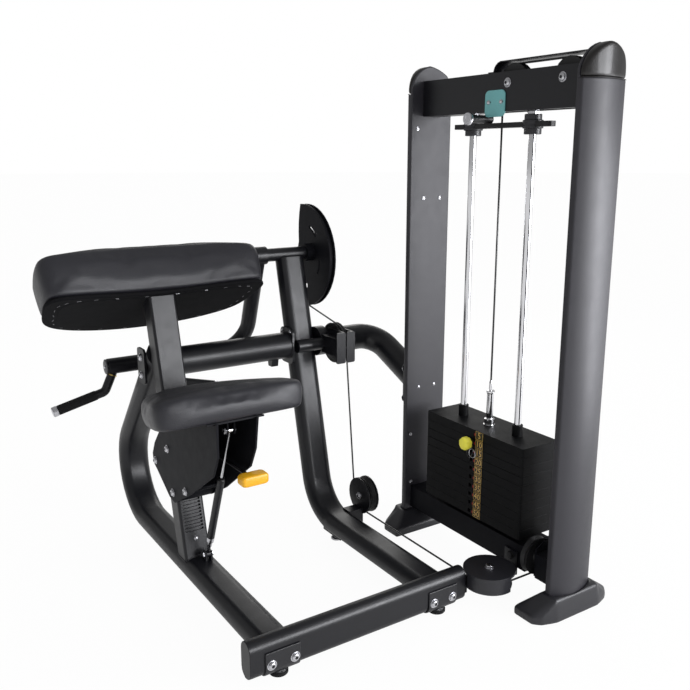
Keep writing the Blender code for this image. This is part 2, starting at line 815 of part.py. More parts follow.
def make_side_tube():
    """The side tube, with the floor pulley's bracket welded to its right side."""
    side = section_tube(side_path(), stadium(TUBE_WIDE, TUBE_THICK))
    seat = BEARING_RADIUS + GAP
    cut(side, rod((SIDE_X - TUBE_WIDE, PIVOT_Y, PIVOT_Z), (SIDE_X + TUBE_WIDE, PIVOT_Y, PIVOT_Z), seat))
    clear = PULLEY_THICK / 2 + CHEEK_CLEAR
    cover = FLOOR_PULLEY_RADIUS + CABLE_RADIUS
    centre = (FLOOR_PULLEY_Y, FLOOR_PULLEY_Z)
    cheek_left = CABLE_X - clear - CHEEK_THICK
    cheek_right = CABLE_X + clear
    foot_low = TUBE_FLOOR_Z - TUBE_THICK / 4
    foot = box(
        (SIDE_X + TUBE_WIDE / 2 - REACH, FLOOR_PULLEY_Y - REACH, foot_low),
        (cheek_left + CHEEK_THICK / 2, FLOOR_PULLEY_Y + REACH, foot_low + TUBE_THICK / 2 + REACH),
    )
    join(side, foot)
    join(side, slab(circle(centre, cover), cheek_left, cheek_left + CHEEK_THICK, ALONG_X))
    join(side, slab(circle(centre, cover), cheek_right, cheek_right + CHEEK_THICK, ALONG_X))
    start = (cheek_left + CHEEK_THICK / 2, *centre)
    end = (cheek_right + CHEEK_THICK / 2, *centre)
    join(side, rod(start, end, AXLE_RADIUS, SMALL_ROUND))
    head = (cheek_left - BOLT_HEAD_TALL, *centre)
    join(side, rod(start, head, BOLT_HEAD_RADIUS, SMALL_ROUND, BOLT_HEAD_RADIUS * 0.7))
    keep(side, "side_tube", BLACK_PAINT)


def make_heel_foot():
    """The levelling foot under the side tube's bend. Its top follows the bend."""
    corner_y = PIVOT_Y - math.tan(SIDE_LEAN) * (PIVOT_Z - TUBE_FLOOR_Z)
    bend_y = corner_y - SIDE_BEND * math.tan((math.pi / 2 - SIDE_LEAN) / 2)
    centre = (bend_y, TUBE_FLOOR_Z + SIDE_BEND)
    radius = SIDE_BEND + TUBE_THICK / 2 + GAP
    top = TUBE_FLOOR_Z - TUBE_THICK / 2 - GAP
    last = -math.pi / 2 + math.asin((HEEL_BACK_Y - bend_y) / radius)
    outline = [(HEEL_FRONT_Y, HEEL_BOTTOM), (HEEL_BACK_Y, HEEL_BOTTOM)]
    outline += arc(centre, radius, last, -math.pi / 2, CORNER_STEPS) + [(HEEL_FRONT_Y, top)]
    flat = TUBE_WIDE - TUBE_THICK
    block = slab(outline, SIDE_X - flat / 2, SIDE_X + flat / 2, ALONG_X)
    y = (HEEL_FRONT_Y + HEEL_BACK_Y) / 2
    join(block, rod((SIDE_X, y, HEEL_PAD_TALL / 2), (SIDE_X, y, HEEL_BOTTOM * 1.2), HEEL_SCREW_RADIUS))
    join(block, rod((SIDE_X, y, 0), (SIDE_X, y, HEEL_PAD_TALL), HEEL_PAD_RADIUS))
    keep(block, "heel_foot", STEEL)


def make_cross_tube():
    left = SPINE_X + TUBE_WIDE / 2 + GAP
    right = SIDE_X - TUBE_WIDE / 2 - GAP
    bar = rod((left, CROSS_Y, CROSS_Z), (right - CROSS_FLANGE / 2, CROSS_Y, CROSS_Z), CROSS_RADIUS)
    outline = rounded_box(CROSS_FLANGE_DEEP, CROSS_FLANGE_TALL, 0.02, (CROSS_Y, CROSS_Z))
    join(bar, slab(outline, right - CROSS_FLANGE, right, ALONG_X))
    stop = right - CROSS_FLANGE_TALL / 2
    low = CROSS_Z - CROSS_RADIUS
    lug = [(CROSS_Y - 0.02, low + REACH), (CROSS_Y - 0.012, low - 0.02), (CROSS_Y + 0.012, low - 0.02)]
    lug.append((CROSS_Y + 0.02, low + REACH))
    join(bar, slab(lug, stop - 0.012, stop + 0.012, ALONG_X))
    keep(bar, "cross_tube", BLACK_PAINT)


def make_bearing():
    bore = SHAFT_RADIUS + GAP
    half = (BEARING_RIGHT - BEARING_LEFT) / 2
    profile = [(bore, half), (BEARING_RADIUS, half), (BEARING_RADIUS, -half), (bore, -half)]
    middle = (BEARING_LEFT + BEARING_RIGHT) / 2
    keep(turned(profile, (middle, PIVOT_Y, PIVOT_Z), ALONG_X), "pivot_bearing", BLACK_PAINT)


def make_guide_bracket():
    """The housing of the guide pulley: a hub and neck on the side tube, two walls with cheeks that face
    the user, the axle, and the bolt that ties the cheeks."""
    tube_right = SIDE_X + TUBE_WIDE / 2 + GAP
    wheel_left = CABLE_X - PULLEY_THICK / 2 - CHEEK_CLEAR
    wheel_right = CABLE_X + PULLEY_THICK / 2 + CHEEK_CLEAR
    front = GUIDE_PULLEY_Y - GUIDE_PULLEY_RADIUS - GUIDE_FRONT_CLEAR
    wall_left = wheel_left - GUIDE_WALL
    wall_end = wheel_right + GUIDE_WALL
    hub = rod((tube_right, CROSS_Y, CROSS_Z), (wall_left + GUIDE_WALL / 2, CROSS_Y, CROSS_Z), GUIDE_HUB_RADIUS)
    middle_y = (front - GUIDE_WALL / 2 + GUIDE_PULLEY_Y + REACH) / 2
    long = GUIDE_PULLEY_Y + REACH - front + GUIDE_WALL / 2
    wall = rounded_box(long, GUIDE_TALL - 0.002, 0.012, (middle_y, CROSS_Z))
    join(hub, slab(wall, wall_left, wheel_left, ALONG_X), slab(wall, wheel_right, wall_end, ALONG_X))
    for low, high in ((GUIDE_LEFT, wheel_left - 0.001), (wall_end + 0.001 - GUIDE_CHEEK_WIDE, wall_end + 0.001)):
        cheek = rounded_box(high - low, GUIDE_TALL, 0.006, ((low + high) / 2, CROSS_Z))
        join(hub, slab(cheek, front - GUIDE_WALL, front, ALONG_Y))
    web_high = CROSS_Y - GUIDE_HUB_RADIUS + REACH
    web = box((GUIDE_LEFT + 0.004, front - 0.001, CROSS_Z - 0.03), (wall_left + 0.001, web_high, CROSS_Z + 0.03))
    join(hub, web)
    axle_start = (wall_left + GUIDE_WALL / 2, GUIDE_PULLEY_Y, GUIDE_PULLEY_Z)
    axle_end = (wheel_right + GUIDE_WALL / 2, GUIDE_PULLEY_Y, GUIDE_PULLEY_Z)
    join(hub, rod(axle_start, axle_end, AXLE_RADIUS, SMALL_ROUND))
    bolt_start = (wall_left + 0.002, front - GUIDE_WALL / 2, CROSS_Z)
    bolt_end = (wheel_right, front - GUIDE_WALL / 2, CROSS_Z)
    join(hub, rod(bolt_start, bolt_end, GUIDE_WALL / 2 - 0.0005, SMALL_ROUND))
    neck_start = SIDE_X - TUBE_WIDE / 2 + CROSS_FLANGE
    join(hub, rod((neck_start, NECK_Y, CROSS_Z), (tube_right + REACH, NECK_Y, CROSS_Z), NECK_RADIUS))
    cut(hub, section_tube(side_path(), stadium(TUBE_WIDE + 2 * GAP, TUBE_THICK + 2 * GAP)))
    keep(hub, "guide_bracket", BLACK_PAINT)


def make_link_tube():
    """The bent tube that ties the seat frame to the far post of the tower."""
    start_x = CABLE_X + PULLEY_THICK / 2 + CHEEK_CLEAR + GUIDE_WALL + GAP
    start = (start_x, LINK_Y, CROSS_Z)
    corner = (TOWER_X - 0.03, LINK_Y, CROSS_Z)
    end = (TOWER_X, POST_FACE_FAR + TOWER_POST_CREST - REACH / 2, LINK_POST_Z)
    link = as_mesh(tube(bent([start, corner, end], LINK_BEND), CROSS_RADIUS, 8))
    flange_y = POST_FACE_FAR + TOWER_POST_CREST
    flange = rounded_box(0.11, 0.13, 0.02, (TOWER_X, LINK_POST_Z))
    join(link, slab(flange, flange_y - REACH, flange_y + LINK_FLANGE, ALONG_Y))
    cut(link, slab(tower_section(1, GAP), LINK_POST_Z - 0.2, LINK_POST_Z + 0.2))
    keep(link, "link_tube", BLACK_PAINT)


# Tower


def tower_section(side, grow=0.0):
    """The section of a tower post, flat inside and creased outside. side is -1 near, 1 far."""
    face = POST_FACE_NEAR if side < 0 else POST_FACE_FAR
    left, right = TOWER_X - TOWER_POST_WIDE / 2 - grow, TOWER_X + TOWER_POST_WIDE / 2 + grow
    crease = (TOWER_X + (TOWER_CREASE - 0.5) * TOWER_POST_WIDE, TOWER_POST_CREST + grow)
    points = [(left, -grow), (right, -grow), (right, TOWER_POST_SIDE + grow)]
    points += bulged((right, TOWER_POST_SIDE + grow), crease, -TOWER_POST_ROUND)
    points += bulged(crease, (left, TOWER_POST_SIDE + grow), -TOWER_POST_ROUND)
    return [(x, face + side * depth) for x, depth in points]


def crown_outline(base, grow=0.0):
    """The rounded, creased outline of a post's top, seen from the front, from base up."""
    left, right = TOWER_X - TOWER_POST_WIDE / 2, TOWER_X + TOWER_POST_WIDE / 2
    side_z = CAP_SEAM_Z + CAP_SIDE_RISE
    apex = (TOWER_X + (TOWER_CREASE + 0.02 - 0.5) * TOWER_POST_WIDE, CAP_TOP_Z)
    shoulder = (right - 0.02, CAP_SHOULDER_Z)
    points = [(left, base), (right, base), (right, side_z)]
    points += bulged((right, side_z), shoulder, -CAP_SIDE_ROUND)
    points += bulged(shoulder, apex, -CAP_SIDE_ROUND)
    points += bulged(apex, (left, side_z), -CAP_CROWN_ROUND, CROWN_STEPS)
    return points


def make_tower_posts():
    for side, end in ((-1, "near"), (1, "far")):
        face = POST_FACE_NEAR if side < 0 else POST_FACE_FAR
        post = slab(tower_section(side), POST_BOTTOM, CAP_SEAM_Z)
        inner, outer = sorted((face, face + side * TOWER_WALL))
        join(post, slab(crown_outline(CAP_SEAM_Z - REACH), inner, outer, ALONG_Y))
        keep(post, f"{end}_post", GRAPHITE_PAINT)
        low, high = sorted((face + side * (TOWER_WALL + GAP), face + side * TOWER_POST_CREST * 2))
        cap = slab(crown_outline(CAP_SEAM_Z + GAP), low, high, ALONG_Y)
        work(cap, slab(tower_section(side), CAP_SEAM_Z - REACH, CAP_TOP_Z + REACH), "INTERSECT")
        keep(cap, f"{end}_post_cap", MOULDED_BLACK)
        make_boot(side, face, f"{end}_boot")


def boot_outline(side, face):
    half = BOOT_WIDE / 2
    points = [(-half, -BOOT_INNER), (half, -BOOT_INNER), (half, BOOT_OUTER * 0.4)]
    points += [(half * 0.86, BOOT_OUTER * 0.76), (half * 0.56, BOOT_OUTER)]
    points += [(-half * 0.56, BOOT_OUTER), (-half * 0.86, BOOT_OUTER * 0.76), (-half, BOOT_OUTER * 0.4)]
    return [(TOWER_X + x, face + side * depth) for x, depth in points]


def make_boot(side, face, name):
    """A moulded boot: an upright edge, then slopes that draw in to the post, which stands in it."""
    outline = boot_outline(side, face)
    if side < 0:
        outline.reverse()
    shape = bmesh.new()
    base = shape.faces.new([shape.verts.new((x, y, 0)) for x, y in outline])
    edge = bmesh.ops.extrude_face_region(shape, geom=[base])
    ring = [item for item in edge["geom"] if isinstance(item, bmesh.types.BMVert)]
    bmesh.ops.translate(shape, vec=(0, 0, BOOT_STEP), verts=ring)
    top = [item for item in edge["geom"] if isinstance(item, bmesh.types.BMFace)]
    slope = bmesh.ops.extrude_face_region(shape, geom=top)
    bmesh.ops.delete(shape, geom=top, context="FACES_ONLY")
    reach = TOWER_POST_WIDE / 2 + BOOT_LIP
    inner, outer = sorted((face - side * BOOT_LIP, face + side * (TOWER_POST_CREST + BOOT_LIP)))
    for item in slope["geom"]:
        if isinstance(item, bmesh.types.BMVert):
            item.co.x = min(max(item.co.x, TOWER_X - reach), TOWER_X + reach)
            item.co.y = min(max(item.co.y, inner), outer)
            item.co.z = BOOT_TOP
    bmesh.ops.recalc_face_normals(shape, faces=shape.faces)
    boot = mesh_object(shape)
    cut(boot, slab(tower_section(side, GAP), -REACH, BOOT_TOP + REACH))
    keep(boot, name, MOULDED_BLACK)


def make_top_beam():
    """The hollow top beam, slotted above and below for the two pulleys that its bolts carry."""
    left, right = TOWER_X - BEAM_WIDE / 2, TOWER_X + BEAM_WIDE / 2
    start, end = POST_FACE_NEAR + GAP, POST_FACE_FAR - GAP
    beam = box((left, start, BEAM_LOW), (right, end, BEAM_TOP))
    hollow = box(
        (left + BEAM_WALL, start - REACH, BEAM_LOW + BEAM_WALL),
        (right - BEAM_WALL, end + REACH, BEAM_TOP - BEAM_WALL),
    )
    half = BEAM_SLOT_WIDE / 2
    near = TOP_PULLEY_NEAR_Y - TOP_PULLEY_RADIUS - REACH / 2
    far = TOP_PULLEY_FAR_Y + TOP_PULLEY_RADIUS + REACH / 2
    slot = box((TOWER_X - half, near, BEAM_LOW - REACH), (TOWER_X + half, far, BEAM_TOP + REACH))
    cut(beam, hollow, slot)
    for y in (TOP_PULLEY_NEAR_Y, TOP_PULLEY_FAR_Y):
        start = (left + BEAM_WALL / 2, y, TOP_PULLEY_Z)
        join(beam, rod(start, (right - BEAM_WALL / 2, y, TOP_PULLEY_Z), AXLE_RADIUS, SMALL_ROUND))
        head = (left - BOLT_HEAD_TALL, y, TOP_PULLEY_Z)
        join(beam, rod(start, head, BOLT_HEAD_RADIUS, SMALL_ROUND, BOLT_HEAD_RADIUS * 0.8))
    keep(beam, "top_beam", BLACK_PAINT)


def make_top_guard():
    """The bent strip over the top pulleys, from the beam's top to the near post."""
    foot_y = TOP_PULLEY_FAR_Y + TOP_PULLEY_RADIUS + 0.012
    z = BEAM_TOP + GAP
    bend = GUARD_TOP_Z - z - GUARD_WALL
    end_y = POST_FACE_NEAR + GAP
    outside = [(foot_y + 0.02, z), (foot_y + 0.02, z + GUARD_WALL), (foot_y, z + GUARD_WALL)]
    outside += bulged((foot_y, z + GUARD_WALL), (foot_y - bend, GUARD_TOP_Z), -0.006)
    inside = bulged((foot_y - bend, GUARD_TOP_Z - GUARD_WALL), (foot_y - GUARD_WALL, z), 0.006)
    outline = outside + [(end_y, GUARD_TOP_Z), (end_y, GUARD_TOP_Z - GUARD_WALL)]
    outline += [(foot_y - bend, GUARD_TOP_Z - GUARD_WALL)] + inside
    guard = slab(outline, TOWER_X - GUARD_HALF, TOWER_X + GUARD_HALF, ALONG_X)
    keep(guard, "top_guard", BLACK_PAINT)


def make_cable_plate():
    right = TOWER_X - BEAM_WIDE / 2 - GAP
    middle = (PLATE_MIDDLE_Y, (PLATE_TOP_Z + PLATE_LOW_Z) / 2)
    outline = rounded_box(PLATE_WIDE, PLATE_TOP_Z - PLATE_LOW_Z, 0.014, middle)
    slots = [
        rounded_box(0.016, 0.006, 0.0025, (middle[0] + side * PLATE_WIDE / 3.2, middle[1] + 0.004))
        for side in (-1, 1)
    ]
    keep(slab(outline, right - GUARD_WALL, right, ALONG_X, slots), "cable_plate", ZINC)


def rod_places():
    return [(TOWER_X, STACK_Y + side * ROD_SPACING / 2) for side in (-1, 1)]


def make_yoke():
    """The bar that holds the guide rods' tops, with a collar round each rod and a cross bolt."""
    low = YOKE_Z - YOKE_THICK / 2
    reach = ROD_SPACING / 2 + 0.072
    outline = rounded_box(YOKE_WIDE, 2 * reach, 0.01, (TOWER_X, STACK_Y))
    bar = slab(outline, low, low + YOKE_THICK)
    for x, y in rod_places():
        start, end = (x, y, YOKE_Z - COLLAR_TALL / 2), (x, y, YOKE_Z + COLLAR_TALL / 2)
        join(bar, rod(start, end, COLLAR_RADIUS))
    bolt_z = low + YOKE_THICK + YOKE_BOLT_RADIUS - GAP * 2
    bolt_y = STACK_Y + YOKE_BOLT_OFFSET
    shank = rod((YOKE_BOLT_LEFT, bolt_y, bolt_z), (TOWER_X, bolt_y, bolt_z), YOKE_BOLT_RADIUS)
    head = rod((YOKE_BOLT_LEFT - 0.008, bolt_y, bolt_z), (YOKE_BOLT_LEFT, bolt_y, bolt_z), YOKE_HEAD_RADIUS)
    join(shank, head)
    join(bar, shank)
    for x, y in rod_places():
        cut(bar, rod((x, y, YOKE_Z - COLLAR_TALL), (x, y, YOKE_Z + COLLAR_TALL), ROD_RADIUS + GAP))
    cut(bar, rod((TOWER_X, STACK_Y, YOKE_Z - REACH), (TOWER_X, STACK_Y, YOKE_Z + REACH), CABLE_HOLE))
    keep(bar, "yoke_bar", BLACK_PAINT)


def make_guide_rods():
    for (x, y), end in zip(rod_places(), ("near", "far")):
        bar = rod((x, y, TRAY_TOP + GAP), (x, y, BEAM_LOW - GAP), ROD_RADIUS)
        keep(bar, f"guide_rod_{end}", CHROME)


def make_base_tray():
    """The channel between the posts that carries the stack, cut away for the tower pulley it holds."""
    left, right = TOWER_X - TRAY_WIDE / 2, TOWER_X + TRAY_WIDE / 2
    start, end = POST_FACE_NEAR + GAP, POST_FACE_FAR - GAP
    tray = box((left, start, TRAY_LOW), (right, end, TRAY_TOP))
    hollow = box(
        (left + TRAY_WALL, start - REACH, TRAY_LOW - REACH),
        (right - TRAY_WALL, end + REACH, TRAY_TOP - TRAY_WALL),
    )
    clear = PULLEY_THICK / 2 + CHEEK_CLEAR
    size = TOWER_PULLEY_RADIUS + 2 * CABLE_RADIUS
    window = box(
        (left - REACH, TOWER_PULLEY_Y - clear - CHEEK_THICK - GAP, TRAY_LOW - REACH),
        (TOWER_PULLEY_X + size, TOWER_PULLEY_Y + clear + CHEEK_THICK + GAP, TRAY_TOP + REACH),
    )
    cut(tray, hollow, window)
    for side in (-1, 1):
        inner = TOWER_PULLEY_Y + side * clear
        low, high = sorted((inner, inner + side * CHEEK_THICK))
        outline = [(TOWER_PULLEY_X - 0.022, TRAY_LOW + 0.004), (right - TRAY_WALL / 2, TRAY_LOW + 0.004)]
        outline += [(right - TRAY_WALL / 2, TRAY_TOP + 0.01), (TOWER_PULLEY_X + 0.01, TRAY_TOP + 0.03)]
        outline += [(TOWER_PULLEY_X - 0.022, TRAY_TOP + 0.012)]
        join(tray, slab(outline, low, high, ALONG_Y))
    reach = clear + CHEEK_THICK / 2
    place = (TOWER_PULLEY_X, TOWER_PULLEY_Y, TOWER_PULLEY_Z)
    axle_start = (place[0], place[1] - reach, place[2])
    join(tray, rod(axle_start, (place[0], place[1] + reach, place[2]), AXLE_RADIUS, SMALL_ROUND))
    keep(tray, "base_tray", BLACK_PAINT)


def make_stack_buffer():
    """The rubber strip that the stack rests on."""
    holes = [circle(place, ROD_RADIUS + GAP) for place in rod_places()]
    holes.append(circle((TOWER_X, STACK_Y), STEM_RADIUS + SLIDE_GAP, SMALL_ROUND))
    outline = rounded_box(BUFFER_WIDE, ROD_SPACING + 2 * BUFFER_REACH, 0.012, (TOWER_X, STACK_Y))
    keep(slab(outline, TRAY_TOP + GAP, STACK_BASE - GAP, holes=holes), "stack_buffer", RUBBER)


# Corner pulley at the crossbar's right end


def make_corner_bracket():
    """The plate that carries the corner pulley, welded to the crossbar and bolted to the tower's tray."""
    left = CROSSBAR_RIGHT + GAP
    right = TOWER_X - TRAY_WIDE / 2 - GAP
    centre = (CORNER_PULLEY_X, CORNER_PULLEY_Y)
    top = CORNER_BASE_LOW + CORNER_BASE_THICK
    half = CROSSBAR_THICK / 2
    plate = slab(circle(centre, CORNER_PLATE_RADIUS), CORNER_BASE_LOW, top)
    join(plate, box((left, -half, CORNER_BASE_LOW + GAP), (CORNER_PULLEY_X, half, top - GAP)))
    join(plate, box((left, -half, CROSSBAR_Z - half), (left + CHEEK_THICK, half, top - 2 * GAP)))
    tongue = box((CORNER_PULLEY_X, -TONGUE_WIDE, CORNER_BASE_LOW + GAP), (right, 0.0, top - GAP))
    join(plate, tongue)
    lug_low = (right - CHEEK_THICK, -TONGUE_WIDE, CORNER_BASE_LOW - GAP)
    join(plate, box(lug_low, (right, 0.0, TRAY_LOW + LUG_RISE)))
    height = CABLE_FLOOR_Z + PULLEY_THICK / 2 + CORNER_CLEAR
    join(plate, rod((*centre, top - CORNER_BASE_THICK / 2), (*centre, height), AXLE_RADIUS, SMALL_ROUND))
    keep(plate, "corner_bracket", BLACK_PAINT)


def make_corner_cover():
    """The round guard over the corner pulley, with a skirt on the side away from the cable."""
    centre = (CORNER_PULLEY_X, CORNER_PULLEY_Y)
    low = CABLE_FLOOR_Z + PULLEY_THICK / 2 + CORNER_CLEAR + GAP
    top = low + CORNER_COVER_THICK
    cover = slab(circle(centre, CORNER_COVER_RADIUS, ROUND + 8), low, top)
    start, end = math.radians(170), math.radians(282)
    skirt = arc(centre, CORNER_COVER_RADIUS - WALL_SINK / 2, start, end, 12)
    skirt += arc(centre, CORNER_PULLEY_RADIUS + 2 * CABLE_RADIUS + CORNER_CLEAR, end, start, 12)
    join(cover, slab(skirt, CORNER_BASE_LOW, low + CORNER_COVER_THICK / 2))
    head_low = low + CORNER_COVER_THICK / 2
    join(cover, rod((*centre, head_low), (*centre, top + BOLT_HEAD_TALL), BOLT_HEAD_RADIUS, SMALL_ROUND))
    keep(cover, "corner_cover", MOULDED_BLACK)


# Pulleys and cable


def make_pulley(name, place, radius, facing):
    """A grooved pulley. radius is to the middle of the cable in its groove."""
    half = PULLEY_THICK / 2
    floor = radius - CABLE_RADIUS - GROOVE_CLEAR
    rim = radius + CABLE_RADIUS
    web = half * 0.55
    bore = AXLE_RADIUS + GAP
    hub = AXLE_RADIUS * 2
    profile = [(bore, half), (hub, half), (hub + 0.004, web), (floor - 0.008, web), (rim, half)]
    profile += [(floor, 0), (rim, -half), (floor - 0.008, -web), (hub + 0.004, -web), (hub, -half), (bore, -half)]
    pivot = pivot_at(f"{name}_axis", place)
    keep(turned(profile, place, facing), name, NYLON, pivot)


def make_pulleys():
    make_pulley("guide_pulley", (CABLE_X, GUIDE_PULLEY_Y, GUIDE_PULLEY_Z), GUIDE_PULLEY_RADIUS, ALONG_X)
    make_pulley("floor_pulley", (CABLE_X, FLOOR_PULLEY_Y, FLOOR_PULLEY_Z), FLOOR_PULLEY_RADIUS, ALONG_X)
    corner = (CORNER_PULLEY_X, CORNER_PULLEY_Y, CABLE_FLOOR_Z)
    make_pulley("corner_pulley", corner, CORNER_PULLEY_RADIUS, ALONG_Z)
    tower = (TOWER_PULLEY_X, TOWER_PULLEY_Y, TOWER_PULLEY_Z)
    make_pulley("tower_pulley", tower, TOWER_PULLEY_RADIUS, ALONG_Y)
    near = (TOWER_X, TOP_PULLEY_NEAR_Y, TOP_PULLEY_Z)
    make_pulley("top_pulley_near", near, TOP_PULLEY_RADIUS, ALONG_X)
    far = (TOWER_X, TOP_PULLEY_FAR_Y, TOP_PULLEY_Z)
    make_pulley("top_pulley_far", far, TOP_PULLEY_RADIUS, ALONG_X)


def cross_run(first, first_radius, second, second_radius, turn):
    """Where a cable that crosses between two circles leaves the first and meets the second. A turn of 1
    leaves the first on the right of the cable's heading, -1 on the left."""
    gap = Vector(second) - Vector(first)
    lean = turn * math.asin((first_radius + second_radius) / gap.length)
    heading = math.atan2(gap.y, gap.x) + lean
    side = turn * Vector((math.sin(heading), -math.cos(heading)))
    return Vector(first) + side * first_radius, Vector(second) - side * second_radius


def angle_from(centre, point):
    line = Vector(point) - Vector(centre)
    return math.atan2(line.y, line.x)


def cam_run():
    """The straight run of cable from the top of the guide pulley to the underside of the cam."""
    guide = (GUIDE_PULLEY_Y, GUIDE_PULLEY_Z)
    return cross_run(guide, GUIDE_PULLEY_RADIUS, (CAM_Y, CAM_Z), CAM_CABLE_RADIUS, -1)


def yz(x, point):
    return (x, point[0], point[1])


def cable_route():
    """The cable's middle line, from the top of the guide pulley to the top pulley above the stack."""
    guide = (GUIDE_PULLEY_Y, GUIDE_PULLEY_Z)
    floor = (FLOOR_PULLEY_Y, FLOOR_PULLEY_Z)
    leave, arrive = cross_run(guide, GUIDE_PULLEY_RADIUS, floor, FLOOR_PULLEY_RADIUS, 1)
    start = angle_from(guide, cam_run()[0])
    end = angle_from(guide, leave) % (2 * math.pi)
    down = -math.pi / 2
    path = [yz(CABLE_X, p) for p in arc(guide, GUIDE_PULLEY_RADIUS, start, end, 6)]
    arrive_angle = angle_from(floor, arrive)
    path += [yz(CABLE_X, p) for p in arc(floor, FLOOR_PULLEY_RADIUS, arrive_angle, down, 7)]
    corner = (CORNER_PULLEY_X, CORNER_PULLEY_Y)
    turn = arc(corner, CORNER_PULLEY_RADIUS, math.pi, math.pi * 1.5, 7)
    path += [(x, y, CABLE_FLOOR_Z) for x, y in turn]
    tower = (TOWER_PULLEY_X, TOWER_PULLEY_Z)
    path += [(x, TOWER_PULLEY_Y, z) for x, z in arc(tower, TOWER_PULLEY_RADIUS, down, 0, 7)]
    near = (TOP_PULLEY_NEAR_Y, TOP_PULLEY_Z)
    path += [yz(TOWER_X, p) for p in arc(near, TOP_PULLEY_RADIUS, math.pi, math.pi / 2, 6)]
    far = (TOP_PULLEY_FAR_Y, TOP_PULLEY_Z)
    path += [yz(TOWER_X, p) for p in arc(far, TOP_PULLEY_RADIUS, math.pi / 2, 0, 6)]
    path.append((TOWER_X, STACK_Y, CABLE_JOINT_Z))
    return path


def make_cable():
    """The cable in three parts: the run that swings with the cam, the run that stays, and the run that
    shortens as the stack lifts."""
    keep(tube(cable_route(), CABLE_RADIUS - CABLE_SLIM, 2), "steel_cable", NYLON)
    low, high = (Vector(yz(CABLE_X, point)) for point in cam_run())
    pivot = pivot_at("cam_cable_pivot", low)
    start = low + (high - low).normalized() * CABLE_HINGE_GAP
    keep(rod(start, high, CABLE_RADIUS - CABLE_SLIM, 8), "cam_cable", NYLON, pivot)
    start = (TOWER_X, STACK_Y, STEM_TOP + GAP)
    end = (TOWER_X, STACK_Y, CABLE_JOINT_Z - GAP)
    stack_cable = rod(start, end, CABLE_RADIUS - CABLE_SLIM, 8)
    keep(stack_cable, "stack_cable", NYLON)


# Curl arm, cam and grips


def cam_band(outer, inner, start, end):
    """A part of a ring round the rim's centre, as an outline that faces X."""
    centre = (CAM_Y, CAM_Z)
    return arc(centre, outer, start, end, CAM_STEPS) + arc(centre, inner, end, start, CAM_STEPS)


def make_cam(pivot):
    """The cam: a plate whose rim is off the pivot's centre, lightening slots, a groove for the cable round
    the rim, and a hub on the shaft."""
    centre = (CAM_Y, CAM_Z)
    axis = (PIVOT_Y, PIVOT_Z)
    groove_left = CAM_LEFT + CAM_PLATE
    groove_right = groove_left + CAM_GROOVE
    inner = CAM_RADIUS - CAM_RIM_DEEP
    rim = arc(centre, CAM_RADIUS, CAM_TOP, CAM_END, CAM_STEPS)
    waist = (PIVOT_Y + CAM_WAIST, PIVOT_Z + CAM_HUB_RADIUS)
    back = bulged(rim[-1], waist, -0.012) + bulged(waist, rim[0], -0.006)[:-1]
    plate = slab(rim + back, CAM_LEFT, groove_left, ALONG_X)
    floor = CAM_CABLE_RADIUS - CABLE_RADIUS - GAP
    core = cam_band(floor, inner, CAM_TOP + CAM_TRIM, CAM_END - CAM_TRIM)
    join(plate, slab(core, groove_left - CAM_RIM / 2, groove_right + CAM_RIM / 2, ALONG_X))
    flange = cam_band(CAM_RADIUS, inner + 0.002, CAM_TOP, CAM_END)
    join(plate, slab(flange, groove_right, groove_right + CAM_RIM, ALONG_X))
    anchor = angle_from(centre, cam_run()[1]) % (2 * math.pi) + CABLE_RADIUS / 2 / CAM_CABLE_RADIUS
    stop = arc(centre, CAM_RADIUS - 0.001, anchor, CAM_END - 2 * CAM_TRIM, 2)
    stop += arc(centre, inner + 0.004, CAM_END - 2 * CAM_TRIM, anchor, 2)
    join(plate, slab(stop, groove_left - CAM_RIM / 3, groove_right + CAM_RIM / 3, ALONG_X))
    bore_end = CAM_LEFT + CAM_PLATE / 2
    join(plate, rod((BEARING_RIGHT + GAP, *axis), (bore_end + CAM_PLATE / 4, *axis), CAM_HUB_RADIUS))
    cut(plate, rod((BEARING_RIGHT - REACH, *axis), (bore_end, *axis), SHAFT_RADIUS + GAP))
    for start, end in CAM_SLOTS:
        start, end = math.radians(start), math.radians(end)
        slot = arc(centre, CAM_SLOT_RADIUS - CAM_SLOT_WIDE / 2, start, end, 5)
        slot += arc(centre, CAM_SLOT_RADIUS + CAM_SLOT_WIDE / 2, end, start, 5)
        cut(plate, slab(slot, CAM_LEFT - REACH, groove_left + REACH, ALONG_X))
    hole = rounded_box(0.020, 0.016, 0.003, (CAM_Y - 0.017, CAM_Z - 0.105))
    cut(plate, slab(hole, CAM_LEFT - REACH, groove_left + REACH, ALONG_X))
    keep(plate, "cam", BLACK_PAINT, pivot)


def arm_corner():
    """The outer corner of the curl arm's bend, before it is rounded."""
    return (ARM_X, ARM_Y, ARM_Z)


def make_curl_arm(pivot):
    """The curl arm: a hub on the shaft, a tube down and round to the bar that carries both grips."""
    path = bent([(ARM_X, PIVOT_Y, PIVOT_Z), arm_corner(), (ARM_LEFT, ARM_Y, ARM_Z)], ARM_BEND)
    arm = as_mesh(tube(path, ARM_RADIUS, 6))
    half = ARM_HUB_WIDE / 2
    centre = (PIVOT_Y, PIVOT_Z)
    join(arm, rod((ARM_X - half, *centre), (ARM_X + half, *centre), ARM_HUB_RADIUS))
    cut(arm, rod((ARM_X - REACH * 2, *centre), (ARM_X + REACH * 2, *centre), SHAFT_RADIUS + GAP))
    plug_start = (ARM_LEFT + WALL_SINK, ARM_Y, ARM_Z)
    join(arm, rod(plug_start, (ARM_LEFT - PLUG_THICK, ARM_Y, ARM_Z), ARM_RADIUS - WALL_SINK))
    keep(arm, "curl_arm", BLACK_PAINT, pivot)
    left = ARM_X - half
    shaft = rod((left, *centre), (CAM_LEFT + CAM_PLATE / 2 - GAP, *centre), SHAFT_RADIUS)
    keep(shaft, "curl_shaft", STEEL, pivot)


